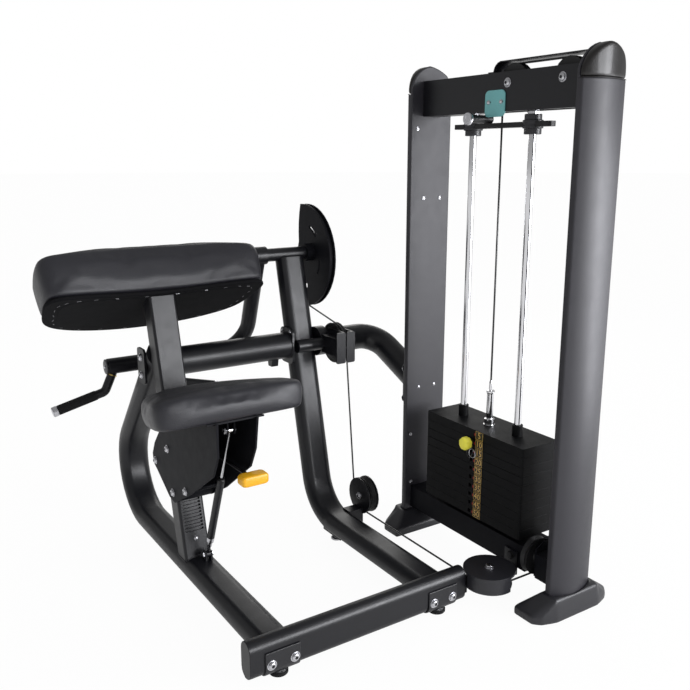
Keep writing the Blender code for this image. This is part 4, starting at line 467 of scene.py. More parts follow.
def tube_form(shape: bmesh.types.BMesh, points: list[Vector], radius: float, sides: int = 10,
              closed: bool = False, ripple: float = 0.0) -> None:
    """Adds a round tube along a line of points.

    Args:
        shape: the shape that it is added to.
        points: the line.
        radius: the tube's radius.
        sides: how many sides its section has.
        closed: True if the line's end meets its start.
        ripple: how much every other ring is thinner, as a share.
    """
    points = [Vector(p) for p in points]
    count = len(points)
    rings = []
    side = MITRE_START.copy()
    for i, point in enumerate(points):
        before = points[i - 1] if i or closed else point
        after = points[(i + 1) % count] if i + 1 < count or closed else point
        along = (after - before).normalized()
        side = (side - along * side.dot(along)).normalized()
        other = along.cross(side)
        reach = radius * (1 - ripple * (i % 2))
        rings.append([
            shape.verts.new(point + side * reach * math.cos(a) + other * reach * math.sin(a))
            for a in (TURN * k / sides for k in range(sides))
        ])
    for low, high in zip(rings, rings[1:]):
        bridge(shape, low, high)
    if closed:
        twist = min(range(sides), key=lambda k: (rings[0][k].co - rings[-1][0].co).length)
        bridge(shape, rings[-1], rings[0][twist:] + rings[0][:twist])
        return
    shape.faces.new(rings[0])
    shape.faces.new(rings[-1])


def slab_form(shape: bmesh.types.BMesh, outline: list[Flat], low: float, high: float,
              place: Matrix) -> None:
    """Adds a flat plate of an outline's shape between two heights of a frame.

    Args:
        shape: the shape that it is added to.
        outline: the plate's outline.
        low: its lower height.
        high: its upper height.
        place: the frame whose XY plane holds the outline.
    """
    rings = [[shape.verts.new(place @ Vector((x, y, z))) for x, y in outline] for z in (low, high)]
    bridge(shape, *rings)
    shape.faces.new(rings[0])
    shape.faces.new(rings[1])


def block_form(shape: bmesh.types.BMesh, low: Point, high: Point, place: Matrix = Matrix()) -> None:
    """Adds a block between two corners of a frame."""
    outline = [(low[0], low[1]), (high[0], low[1]), (high[0], high[1]), (low[0], high[1])]
    slab_form(shape, outline, low[2], high[2], place)


def rounded(wide: float, tall: float, radius: float, centre: Flat = (0.0, 0.0),
            steps: int = 5) -> list[Flat]:
    """The outline of a rectangle with round corners.

    Args:
        wide: its width.
        tall: its height.
        radius: its corners' radius.
        centre: its middle.
        steps: how many stretches a corner has.

    Returns:
        The outline's corners.
    """
    points = []
    for k, (sx, sy) in enumerate(((1, 1), (-1, 1), (-1, -1), (1, -1))):
        for i in range(steps + 1):
            angle = math.pi / 2 * (k + i / steps)
            x = sx * (wide / 2 - radius) + radius * math.cos(angle)
            y = sy * (tall / 2 - radius) + radius * math.sin(angle)
            points.append((centre[0] + x, centre[1] + y))
    return points


def stadium(wide: float, thick: float, steps: int = 10) -> list[Flat]:
    """The outline of a flat-oval tube."""
    return rounded(wide, thick, thick / 2 - 1e-5, steps=steps)


def hexagon(apothem: float, sides: int = RING_SIDES) -> list[float]:
    """The reach of a hexagon's wall at each of a ring's corners.

    Args:
        apothem: half its width across flats.
        sides: how many corners the ring has.

    Returns:
        One reach for each corner.
    """
    sixth = math.pi / 3
    angles = (TURN * i / sides for i in range(sides))
    return [apothem / math.cos((a % sixth) - sixth / 2) for a in angles]


def ring_of(shape: bmesh.types.BMesh, place: Matrix, reach: list[float], height: float) -> list:
    """Adds one ring of corners at a height, with its own reach at each corner.

    Args:
        shape: the shape that it is added to.
        place: the frame whose Z is the ring's axis.
        reach: how far each corner stands from the axis.
        height: the ring's height.

    Returns:
        The ring's corners.
    """
    turns = [TURN * i / len(reach) for i in range(len(reach))]
    return [
        shape.verts.new(place @ Vector((r * math.cos(a), r * math.sin(a), height)))
        for r, a in zip(reach, turns)
    ]


# Fasteners


WASHER_TALL = 0.0014
WASHER_CHAMFER = 0.0004


class Head(Enum):
    """The head of a bolt or screw."""

    BUTTON = "button head with a hexagon socket"
    HEX = "hexagon head"
    PAN = "small domed head"


@dataclass(frozen=True)
class Fastener:
    """A bolt's visible head, with its washer where it has one."""

    head: Head
    radius: float
    tall: float
    washer: float = 0.0

    def add(self, shape: bmesh.types.BMesh, place: Matrix) -> None:
        """Adds the head to a shape, seated on the frame's own XY plane.

        Args:
            shape: the shape that it is added to.
            place: the frame, with Z out of the surface that the bolt clamps.
        """
        foot = 0.0
        if self.washer:
            foot = WASHER_TALL
            wide = self.washer
            profile = [(0, 0), (wide, 0), (wide, 0.001), (wide - WASHER_CHAMFER, foot), (0, foot)]
            turn_form(shape, profile, place)
        radius, top = self.radius, foot + self.tall
        if self.head is Head.HEX:
            walls = hexagon(radius * 0.9)
            rings = [(walls, foot), (walls, top - radius * 0.12), ([radius * 0.86] * RING_SIDES, top)]
            rings += [([radius * 0.5] * RING_SIDES, top + 0.0002)]
        elif self.head is Head.BUTTON:
            dome = [(1.0, 0.0), (1.0, 0.18), (0.94, 0.5), (0.80, 0.78), (0.62, 0.95), (0.52, 1.0)]
            rings = [([radius * r] * RING_SIDES, foot + self.tall * h) for r, h in dome]
            socket = hexagon(radius * 0.40)
            rings += [(socket, top - 0.0001), (socket, foot + self.tall * 0.35)]
        else:
            dome = [(1.0, 0.0), (1.0, 0.3), (0.86, 0.7), (0.55, 0.95)]
            rings = [([radius * r] * RING_SIDES, foot + self.tall * h) for r, h in dome]
        made = [ring_of(shape, place, reach, height) for reach, height in rings]
        for low, high in zip(made, made[1:]):
            bridge(shape, low, high)
        shape.faces.new(made[0])
        shape.faces.new(made[-1])


SADDLE_BOLT = Fastener(Head.BUTTON, 0.0106, 0.0062, washer=0.0135)
AXLE_BOLT = Fastener(Head.BUTTON, 0.0102, 0.0060, washer=0.0128)
CLAMP_BOLT = Fastener(Head.BUTTON, 0.0101, 0.0057, washer=0.0118)
FRAME_SCREW = Fastener(Head.PAN, 0.0050, 0.0030, washer=0.0060)
HEX_BOLT = Fastener(Head.HEX, 0.0112, 0.0066, washer=0.0140)
SMALL_HEX = Fastener(Head.HEX, 0.0072, 0.0050, washer=0.0088)


# The workshop puts pieces in their place


class Workshop:
    """Places pieces: gives each its finish and its body, and hides the nodes that it stands for."""

    def __init__(self) -> None:
        """Starts with no piece."""
        self.count = 0

    def place(self, piece: bpy.types.Object, finish: Finish, body: str, slot: str = STEEL_SLOT,
              stands_for: tuple[str, ...] = ()) -> bpy.types.Object:
        """Finishes one piece and lets it ride on a body.

        Args:
            piece: the piece, in its place.
            finish: its finish.
            body: the body that it moves with.
            slot: the record's slot that its finish belongs to; not used.
            stands_for: the nodes that it replaces.

        Returns:
            The piece.
        """
        piece.data.materials.clear()
        piece.data.materials.append(finish.material())
        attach(piece, body)
        if stands_for:
            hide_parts(*stands_for)
        self.count += 1
        LOG.info("%s: %s, on %s", piece.name, finish.name, body)
        return piece

    def make(self, name: str, shape: bmesh.types.BMesh, degrees: float, finish: Finish, body: str,
             slot: str = STEEL_SLOT) -> None:
        """Turns a working shape into a shaded piece and places it.

        Args:
            name: the piece's name.
            shape: the shape, which is used up.
            degrees: faces that meet at more than this angle have a sharp edge.
            finish: its finish.
            body: the body that it moves with.
            slot: the record's slot that its finish belongs to.
        """
        self.place(shade(piece_of(name, shape), degrees), finish, body, slot)

    def fasteners(self, name: str, kind: Fastener, seats: list[tuple[Point, Point]], body: str,
                  finish: Finish = BRIGHT_STEEL) -> None:
        """Places a group of equal bolts as one piece.

        Args:
            name: the group's name.
            kind: the bolt's head.
            seats: where each bolt sits and where it points.
            body: the body that the group moves with.
            finish: the bolts' finish.
        """
        shape = bmesh.new()
        for place, direction in seats:
            kind.add(shape, in_x(place, direction))
        self.make(name, shape, 40, finish, body)

    def refine(self, node: str, finish: Finish, edge: float = 0.0008, segments: int = 2,
               degrees: float = SHARP_ANGLE) -> bpy.types.Object:
        """Stands a node's own shape in its place, with welded faces, soft edges and a finish.

        Args:
            node: the node's name.
            finish: its finish.
            edge: the width of its soft edges, or 0 for none.
            segments: how many faces a soft edge has.
            degrees: edges below this angle stay smooth.

        Returns:
            The refined piece.
        """
        shape = form_of_node(node)
        bmesh.ops.dissolve_limit(shape, angle_limit=FLAT_ANGLE, verts=shape.verts, edges=shape.edges)
        piece = shade(piece_of(f"{node}_form", shape), degrees)
        if edge:
            soften(piece, edge, segments, degrees)
        even_shading(piece)
        return self.place(piece, finish, body_of_node(node), node, (node,))

    def mould(self, node: str, finish: Finish, voxel: float = 0.0025, rounds: int = 6) -> bpy.types.Object:
        """Stands a node's own shape in its place as a moulding, with all its edges well rounded.

        Args:
            node: the node's name.
            finish: its finish.
            voxel: the size of its even mesh.
            rounds: how often the surface is smoothed. More gives rounder edges.

        Returns:
            The moulded piece.
        """
        shape = form_of_node(node)
        piece = piece_of(f"{node}_form", shape)
        even = piece.modifiers.new("even mesh", "REMESH")
        even.mode = "VOXEL"
        even.voxel_size = voxel
        even.use_smooth_shade = True
        smooth = piece.modifiers.new("round edges", "SMOOTH")
        smooth.factor = 0.5
        smooth.iterations = rounds
        return self.place(piece, finish, body_of_node(node), node, (node,))

    def drawn_in(self, node: str, finish: Finish, low_body: str, high_body: str) -> bpy.types.Object:
        """Stands an upright cable's own shape in its place, fixed where it stands.

        Args:
            node: the node's name.
            finish: its finish.
            low_body: the foot's body, named only in the log.
            high_body: the top's body, named only in the log.
            high_body: the body that the top stays with.

        Returns:
            The cable.
        """
        shape = form_of_node(node)
        piece = shade(piece_of(f"{node}_form", shape), 60)
        piece.data.materials.append(finish.material())
        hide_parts(node)
        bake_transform(piece)
        self.count += 1
        LOG.info("%s: %s, between %s and %s", piece.name, finish.name, low_body, high_body)
        return piece

    def turned_rod(self, node: str, finish: Finish, sides: int = 48) -> bpy.types.Object:
        """Stands a finely turned rod in the place of an upright one, over the same box.

        Args:
            node: the node's name.
            finish: its finish.
            sides: how many sides it has.

        Returns:
            The rod.
        """
        low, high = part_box(node)
        middle = ((low[0] + high[0]) / 2, (low[1] + high[1]) / 2, low[2])
        radius, tall = (high[0] - low[0]) / 2, high[2] - low[2]
        shape = bmesh.new()
        profile = [(0, 0), (radius - 0.0008, 0), (radius, 0.0008), (radius, tall - 0.0008)]
        profile += [(radius - 0.0008, tall), (0, tall)]
        turn_form(shape, profile, Matrix.Translation(middle), sides)
        piece = shade(piece_of(f"{node}_form", shape), 40)
        return self.place(piece, finish, body_of_node(node), node, (node,))


def form_of_node(node: str) -> bmesh.types.BMesh:
    """Copies a node's own shape and joins its doubled corners.

    Args:
        node: the node's name.

    Returns:
        The working shape.
    """
    shape = bmesh.new()
    shape.from_mesh(frame["nodes"][node].data)
    bmesh.ops.remove_doubles(shape, verts=shape.verts, dist=WELD_DISTANCE)
    return shape


def body_of_node(node: str) -> str:
    """Finds the body that a node rides on.

    Args:
        node: the node's name.

    Returns:
        The body's name.
    """
    for body, nodes in frame["record"]["behaviour"]["bodies"].items():
        if node in nodes:
            return body
    raise KeyError(node)


# Padding


CORNER_SOFTNESS = 0.6
TOP_DRAW_IN = 0.03
CAGE_CUTS = 6
SWELL_STEPS = 20
HELD_SHARE = 0.12
FOLD_SHARE = 0.45
FOLDS_ACROSS, FOLDS_UP = 46, 9


@dataclass(frozen=True)
class Cushion:
    """One padded form on a sloped base, with a crowned top and sides that draw in to the base."""

    name: str
    node: str
    body: str
    origin: Point
    slope: float
    half_wide: float
    half_deep: float
    thick: float
    crown: float
    taper: float
    bow: float
    near_power: float
    far_power: float
    draw_in: float
    swell: float = 0.006
    start_in: float = 0.004
    voxel: float = 0.006
    ease: int = 24

    def frame(self, up: float = 0.0) -> Matrix:
        """The cushion's own frame: Y along its slope, Z out of its base.

        Args:
            up: how far its origin stands over the base.

        Returns:
            The frame, as a 4 by 4 matrix.
        """
        along = Vector((0, math.cos(self.slope), -math.sin(self.slope)))
        out = Vector((0, math.sin(self.slope), math.cos(self.slope)))
        made = Matrix.Identity(4)
        made.col[1][:3] = along
        made.col[2][:3] = out
        made.col[3][:3] = Vector(self.origin) + out * up
        return made

    def in_plan(self, a: float, b: float, inset: float = 0.0) -> Flat:
        """A point of a unit square, moved to its place in the cushion's plan.

        Args:
            a: the point's place across, from -1 to 1.
            b: its place along the slope, from -1 to 1.
            inset: how far the plan is drawn in.

        Returns:
            The point in the plan.
        """
        ring = max(abs(a), abs(b))
        if ring > 0:
            power = self.near_power if b < 0 else self.far_power
            shrink = ring / (abs(a) ** power + abs(b) ** power) ** (1 / power)
            a, b = a * shrink, b * shrink
        half = self.half_wide * (1 - self.taper * (b + 1) / 2) - inset
        return a * half, b * (self.half_deep - inset) + self.bow * (1 - a * a)

    def edge_line(self, share: float, up: float, steps: int = 28) -> list[Vector]:
        """A closed line round the cushion's plan, at a share of its size and a height.

        Args:
            share: the line's size, as a share of the plan.
            up: its height over the base.
            steps: how many points a quarter has.

        Returns:
            The line's points.
        """
        square = []
        for k in range(4):
            for i in range(steps):
                t = -1 + 2 * i / steps
                square.append([(t, -1), (1, t), (-t, 1), (-1, -t)][k])
        frame_here = self.frame(up)
        return [frame_here @ Vector((*self.in_plan(a * share, b * share), 0)) for a, b in square]

    def _cage(self) -> bpy.types.Object:
        """The form before it swells: a little smaller than the cushion, with soft corners.

        Returns:
            The form, with the modifiers that even it out.
        """
        shape = bmesh.new()
        bmesh.ops.create_cube(shape, size=2)
        bmesh.ops.subdivide_edges(shape, edges=shape.edges, cuts=CAGE_CUTS, use_grid_fill=True)
        tall = self.thick - self.start_in
        for vert in shape.verts:
            a, b, c = (math.copysign(abs(value) ** CORNER_SOFTNESS, value) for value in vert.co)
            edge = 1 - self.draw_in * ((1 - c) / 2) ** 2 - TOP_DRAW_IN * max(c, 0) ** 3
            x, y = self.in_plan(a * edge, b * edge, self.start_in)
            lift = self.crown * (1 - a * a) * (1 - b * b / 2) if c > 0 else 0
            vert.co = (x, y, tall * (c + 1) / 2 + lift * max(c, 0))
        cage = piece_of(f"{self.name}_cage", shape)
        smooth = cage.modifiers.new("smooth", "SUBSURF")
        smooth.levels = smooth.render_levels = 2
        remesh = cage.modifiers.new("even mesh", "REMESH")
        remesh.mode = "VOXEL"
        remesh.voxel_size = self.voxel
        return cage

    def _even_mesh(self) -> bpy.types.Object:
        """The form on an even mesh, ready to swell.

        Returns:
            The form as one even mesh.
        """
        cage = self._cage()
        view = bpy.context.evaluated_depsgraph_get()
        data = bpy.data.meshes.new_from_object(cage.evaluated_get(view))
        bpy.data.objects.remove(cage)
        made = bpy.data.objects.new(self.name, data)
        bpy.context.scene.collection.objects.link(made)
        return made

    def _swell(self, pad: bpy.types.Object) -> None:
        """Lets the cover swell as cloth over its filling, and caps how far a point moves.

        Args:
            pad: the cushion's even mesh.
        """
        rest = [vert.co.copy() for vert in pad.data.vertices]
        held = pad.vertex_groups.new(name="held")
        held.add([v.index for v in pad.data.vertices if v.co.z < self.thick * HELD_SHARE], 1.0, "REPLACE")
        cloth = pad.modifiers.new("swell", "CLOTH")
        cloth.settings.quality = 4
        cloth.settings.mass = 0.3
        cloth.settings.tension_stiffness = 45
        cloth.settings.compression_stiffness = 45
        cloth.settings.bending_stiffness = 20.0
        cloth.settings.vertex_group_mass = "held"
        cloth.settings.use_pressure = True
        cloth.settings.uniform_pressure_force = 4.0
        cloth.settings.effector_weights.gravity = 0.0
        cloth.collision_settings.use_collision = False
        scene = bpy.context.scene
        for step in range(1, SWELL_STEPS + 1):
            scene.frame_set(step)
        view = bpy.context.evaluated_depsgraph_get()
        swollen = pad.evaluated_get(view).to_mesh()
        moved = [vert.co.copy() for vert in swollen.vertices]
        pad.evaluated_get(view).to_mesh_clear()
        pad.modifiers.remove(cloth)
        scene.frame_set(1)
        for vert, start, end in zip(pad.data.vertices, rest, moved):
            step = end - start
            if step.length > self.swell:
                step *= self.swell / step.length
            vert.co = start + step
            vert.co.z = max(vert.co.z, 0.0)

    def _crease(self, pad: bpy.types.Object, depth: float = 0.0012) -> None:
        """Draws soft folds into the cover, low down where it is pulled round the base.

        Args:
            pad: the cushion, in its place.
            depth: how deep the folds are.
        """
        inverse = self.frame().inverted()
        for vert in pad.data.vertices:
            here = inverse @ vert.co
            low = max(0.0, 1 - here.z / (self.thick * FOLD_SHARE))
            end = min(1.0, abs(here.x) / self.half_wide) ** 4
            fold = noise.noise(Vector((here.x * FOLDS_ACROSS, here.y * FOLDS_ACROSS, here.z * FOLDS_UP)))
            vert.co += vert.normal * fold * depth * low * (0.25 + end)

    def build(self, shop: Workshop) -> bpy.types.Object:
        """Builds the padded cushion in the place of its plain solid.

        Args:
            shop: the workshop that places it.

        Returns:
            The cushion.
        """
        pad = self._even_mesh()
        self._swell(pad)
        pad.data.transform(self.frame())
        smooth = pad.modifiers.new("cover", "SMOOTH")
        smooth.factor = 0.5
        smooth.iterations = self.ease
        shade(pad, 180)
        self._crease(pad)
        shop.place(pad, LEATHER, self.body, self.node, (self.node,))
        return pad


@dataclass(frozen=True)
class ArmPad:
    """The sloped pad that the upper arms lie on, with the wrapped board under it."""

    cushion: Cushion
    board: float = 0.012
    wrap: float = 0.955
    gap: float = 0.0003
    staple_share: float = 0.86
    staple_count: int = 28
    staple_half: float = 0.0055
    staple_wire: float = 0.00042
    staple_turn: float = 2.4
    staple_slant: float = 0.35

    def _board_frame(self) -> Matrix:
        """The board's frame, with its origin on the board's underside."""
        return self.cushion.frame(-self.board - self.gap)

    def build_board(self, shop: Workshop) -> None:
        """Places the board, with the cover drawn round its edge and gathered under it. The cover's rim takes
        the near-black cloth finish: painted shade where it faces down.

        Args:
            shop: the workshop that places the pieces.
        """
        line = self.cushion.edge_line(self.wrap, -self.board - self.gap, 20)
        inverse = self._board_frame().inverted()
        outline = [tuple((inverse @ point)[:2]) for point in line]
        shape = bmesh.new()
        slab_form(shape, outline, 0.0, self.board - 0.0002, self._board_frame())
        board = shade(piece_of("arm_pad_wrap", shape), 50)
        soften(board, 0.0045, 3, 50)
        # The rim of the leather cover in the near-black cloth finish: painted shade on its down-facing edge.
        shop.place(board, BACKING_CLOTH_AND_SHADE, "frame", "arm_pad_board", ("arm_pad_board",))
        inner = self.cushion.edge_line(self.staple_share - 0.035, -self.board - self.gap, 20)
        outline = [tuple((inverse @ point)[:2]) for point in inner]
        shape = bmesh.new()
        slab_form(shape, outline, -0.0007, 0.001, self._board_frame())
        shop.make("arm_pad_backing", shape, 50, BACKING_CLOTH_AND_SHADE, "frame", "arm_pad_board")

    def build_staples(self, shop: Workshop) -> None:
        """Places the staples that hold the cover to the board's underside.

        Args:
            shop: the workshop that places the pieces.
        """
        line = self.cushion.edge_line(self.staple_share, -self.board - self.gap, 40)
        out = -self._board_frame().col[2].to_3d()
        shape = bmesh.new()
        for i in range(self.staple_count):
            k = round(i * len(line) / self.staple_count) % len(line)
            along = (line[(k + 1) % len(line)] - line[k - 1]).normalized()
            slant = math.sin(i * self.staple_turn) * self.staple_slant
            along = (along + out.cross(along) * slant).normalized()
            middle = line[k] + out * 0.0004
            half = along * self.staple_half
            down = out * 0.0006
            legs = [middle - half - down, middle - half, middle + half, middle + half - down]
            tube_form(shape, legs, self.staple_wire, 5)
        shop.place(piece_of("arm_pad_staples", shape), STAPLE, "frame", "arm_pad_board")

    def build(self, shop: Workshop) -> None:
        """Builds the pad, its board and its staples.

        Args:
            shop: the workshop that places the pieces.
        """
        self.cushion.build(shop)
        self.build_board(shop)
        self.build_staples(shop)


PAD_SLOPE = math.radians(29.75)
PAD_CORNER_Y, PAD_CORNER_Z = 0.615, 0.885
PAD_ALONG, PAD_OVER_BOARD = 0.108, 0.0123
PAD_BASE = (
    0.0,
    PAD_CORNER_Y + math.cos(PAD_SLOPE) * PAD_ALONG + math.sin(PAD_SLOPE) * PAD_OVER_BOARD,
    PAD_CORNER_Z - math.sin(PAD_SLOPE) * PAD_ALONG + math.cos(PAD_SLOPE) * PAD_OVER_BOARD,
)
ARM_PAD = ArmPad(Cushion(
    "arm_pad_cover", "arm_pad", "frame", PAD_BASE, PAD_SLOPE, half_wide=0.366, half_deep=0.157,
    thick=0.130, crown=0.040, taper=0.11, bow=0.096, near_power=2.9, far_power=6.0, draw_in=0.03,
    ease=10,
))
POST_LEAN = math.radians(13.87)
SEAT_REAR_Y, SEAT_REAR_Z, SEAT_HALF_DEEP = 0.178, 0.608, 0.1825
SEAT_BASE = (
    0.0,
    SEAT_REAR_Y + math.cos(POST_LEAN) * SEAT_HALF_DEEP,
    SEAT_REAR_Z - math.sin(POST_LEAN) * SEAT_HALF_DEEP,
)
SEAT_CUSHION = Cushion(
    "seat_cover", "seat_pad", "seat", SEAT_BASE, POST_LEAN, half_wide=0.226, half_deep=0.1860,
    thick=0.078, crown=0.013, taper=0.34, bow=0.0, near_power=9.0, far_power=3.4, draw_in=0.05,
    voxel=0.005, ease=14,
)


# Seat frame


@dataclass(frozen=True)
class SeatFrame:
    """The floor frame, the spine, the main post, the side tube and the tubes that join them."""

    tube_wide: float = 0.100
    tube_thick: float = 0.060
    tube_z: float = 0.065
    crossbar_face: float = 0.0253
    spine_x: float = 0.0
    side_x: float = 0.505
    cross_radius: float = 0.044
    cross_y: float = 0.740
    cross_z: float = 0.630
    post_wide: float = 0.080
    post_deep: float = 0.062
    post_y: float = 0.500
    rack_z: float = 0.148
    bead_radius: float = 0.0022
    bead_step: float = 0.0028
    cross_end: float = 0.4455
    clamp_x: float = -0.0550
    flange_x: float = 0.4467
    floor_pulley: Point = (0.5870, 0.510, 0.138)
    corner_pulley: Point = (0.666, -0.038, 0.1023)
    spring_foot: Point = (0.017, 0.460, 0.112)
    heel: Point = (0.505, 0.5225, 0.0)

    def post_faces(self, z: float) -> Flat:
        """Where the main post's two broad faces stand at a height, as the lower and higher Y.

        Args:
            z: the height.

        Returns:
            The two faces' Y.
        """
        middle = self.post_y + math.tan(POST_LEAN) * z
        half = self.post_deep / 2 / math.cos(POST_LEAN)
        return middle - half, middle + half

    def dress(self, shop: Workshop) -> None:
        """Refines the frame's members and gives them their finishes.

        Args:
            shop: the workshop that places the pieces.
        """
        for node in ("spine_tube", "side_tube", "cross_tube", "guide_bracket", "link_tube"):
            shop.refine(node, BLACK_PAINT, 0.0007)
        shop.refine("main_post", BLACK_PAINT, 0.0006)
        shop.refine("crossbar", BLACK_PAINT, 0.0)
        shop.refine("pivot_bearing", BLACK_PAINT, 0.0008)
        for node in ("spine_saddle", "side_saddle"):
            shop.mould(node, DARK_GRAPHITE, 0.0018, 8)
        shop.refine("corner_bracket", BLACK_PAINT, 0.0006)
        shop.refine("corner_cover", MATT_MOULDING, 0.0040, 4)
        shop.refine("heel_foot", BLACK_PAINT, 0.0010)

    def _floor_ring(self, x: float) -> list[Vector]:
        """The line round a floor tube's end, where it is welded to the crossbar."""
        section = stadium(self.tube_wide, self.tube_thick, 8)
        return [Vector((x + a, self.crossbar_face + 0.001, self.tube_z + b)) for a, b in section]

    def _post_foot(self) -> list[Vector]:
        """The line round the main post's foot on the spine's rounded top.

        Returns:
            The closed line's points.
        """
        half, radius = self.post_wide / 2, self.tube_thick / 2
        flat = self.tube_wide / 2 - radius

        def top(x: float) -> float:
            """The spine's height at a distance from its middle."""
            over = max(abs(x) - flat, 0.0)
            return self.tube_z + math.sqrt(max(radius * radius - over * over, 0.0))

        across = [-half + 2 * half * i / 14 for i in range(15)]
        line = [Vector((x, self.post_faces(top(x))[0], top(x))) for x in across]
        low_y, high_y = self.post_faces(top(half))
        steps = [low_y + (high_y - low_y) * i / 8 for i in range(1, 8)]
        line += [Vector((half, y, top(half))) for y in steps]
        line += [Vector((x, self.post_faces(top(x))[1], top(x))) for x in reversed(across)]
        line += [Vector((-half, y, top(half))) for y in reversed(steps)]
        return line

    def _ring(self, x: float, radius: float, y: float, z: float) -> list[Vector]:
        """A circle that faces X."""
        turns = (TURN * i / 56 for i in range(56))
        return [Vector((x, y + radius * math.cos(a), z + radius * math.sin(a))) for a in turns]

    def weld(self, shop: Workshop) -> None:
        """Places the painted weld beads between the frame's tubes.

        Args:
            shop: the workshop that places the pieces.
        """
        beads = {
            "spine_floor_weld": self._floor_ring(self.spine_x),
            "side_floor_weld": self._floor_ring(self.side_x),
            "post_foot_weld": self._post_foot(),
            "cross_tube_weld": self._ring(
                self.cross_end, self.cross_radius + 0.0004, self.cross_y, self.cross_z,
            ),
        }
        for name, line in beads.items():
            shape = bmesh.new()
            tube_form(shape, fine_line(line, self.bead_step), self.bead_radius, 8, closed=True, ripple=0.16)
            shop.place(shade(piece_of(name, shape), 70), WELD, "frame", PAINT_SLOT)

    def fasten(self, shop: Workshop) -> None:
        """Places the frame's bolts and its rubber feet.

        Args:
            shop: the workshop that places the pieces.
        """
        saddle = [
            ((x + side * 0.0325, -0.0293, 0.047), (0, -1, 0))
            for x in (self.spine_x, self.side_x) for side in (-1, 1)
        ]
        shop.fasteners("saddle_bolts", SADDLE_BOLT, saddle, "frame")
        clamp = [
            ((self.clamp_x, self.cross_y, self.cross_z + dz), (-1, 0, 0)) for dz in (-0.0275, 0.0275)
        ]
        shop.fasteners("clamp_bolts", CLAMP_BOLT, clamp, "frame")
        shop.fasteners("floor_pulley_bolt", AXLE_BOLT, [(self.floor_pulley, (-1, 0, 0))], "frame")
        shop.fasteners("corner_pulley_bolt", HEX_BOLT, [(self.corner_pulley, (0, 0, 1))], "frame")
        x, y, z = self.spring_foot
        fork = [((x - 0.0110, y, z), (-1, 0, 0)), ((x + 0.0110, y, z), (1, 0, 0))]
        shop.fasteners("gas_spring_foot_bolts", SMALL_HEX, fork, "frame")
        out = (0, -math.cos(POST_LEAN), math.sin(POST_LEAN))
        rack = [((0.0, self.post_faces(self.rack_z)[0], self.rack_z), out)]
        shop.fasteners("rack_screw", FRAME_SCREW, rack, "frame")
        flange = [
            ((self.flange_x, self.cross_y + dy, self.cross_z + 0.049), (-1, 0, 0)) for dy in (-0.026, 0.026)
        ]
        shop.fasteners("cross_flange_bolts", FRAME_SCREW, flange, "frame")
        self._feet(shop)

    def _feet(self, shop: Workshop) -> None:
        """Places the rubber pads under the crossbar and the steel pad of the levelling foot.

        Args:
            shop: the workshop that places the pieces.
        """
        shape = bmesh.new()
        for x in (self.spine_x, self.side_x):
            profile = [(0.0235, 0.0), (0.0250, 0.002), (0.0250, 0.0085), (0.0225, 0.0105), (0, 0.0105)]
            turn_form(shape, profile, Matrix.Translation((x, 0, 0)))
        shop.make("crossbar_feet", shape, 50, RUBBER, "frame", "stack_buffer")
        shape = bmesh.new()
        profile = [(0.0180, 0.0), (0.0190, 0.001), (0.0190, 0.0048), (0.0170, 0.0070), (0.0068, 0.0074)]
        profile += [(0.0068, 0.0180), (0, 0.0180)]
        turn_form(shape, profile, Matrix.Translation(self.heel))
        thread = [(0.0064, 0), (0.0078, 0.0012), (0.0064, 0.0024)]
        for k in range(4):
            turn_form(shape, thread, Matrix.Translation((*self.heel[:2], 0.0080 + k * 0.0024)))
        shop.make("heel_screw", shape, 50, BRIGHT_STEEL, "frame", "heel_foot")


def fine_line(line: list[Vector], step: float) -> list[Vector]:
    """A closed line's points at an even step.

    Args:
        line: the corners of the closed line.
        step: the distance between two points.

    Returns:
        An even number of points along it.
    """
    lengths = [(line[(i + 1) % len(line)] - p).length for i, p in enumerate(line)]
    total = sum(lengths)
    count = max(int(total / step) // 2 * 2, 8)
    points, k, gone = [], 0, 0.0
    for i in range(count):
        want = total * i / count
        while gone + lengths[k] < want:
            gone += lengths[k]
            k += 1
        share = (want - gone) / max(lengths[k], 1e-9)
        points.append(line[k].lerp(line[(k + 1) % len(line)], share))
    return points


# Curl arm and cam


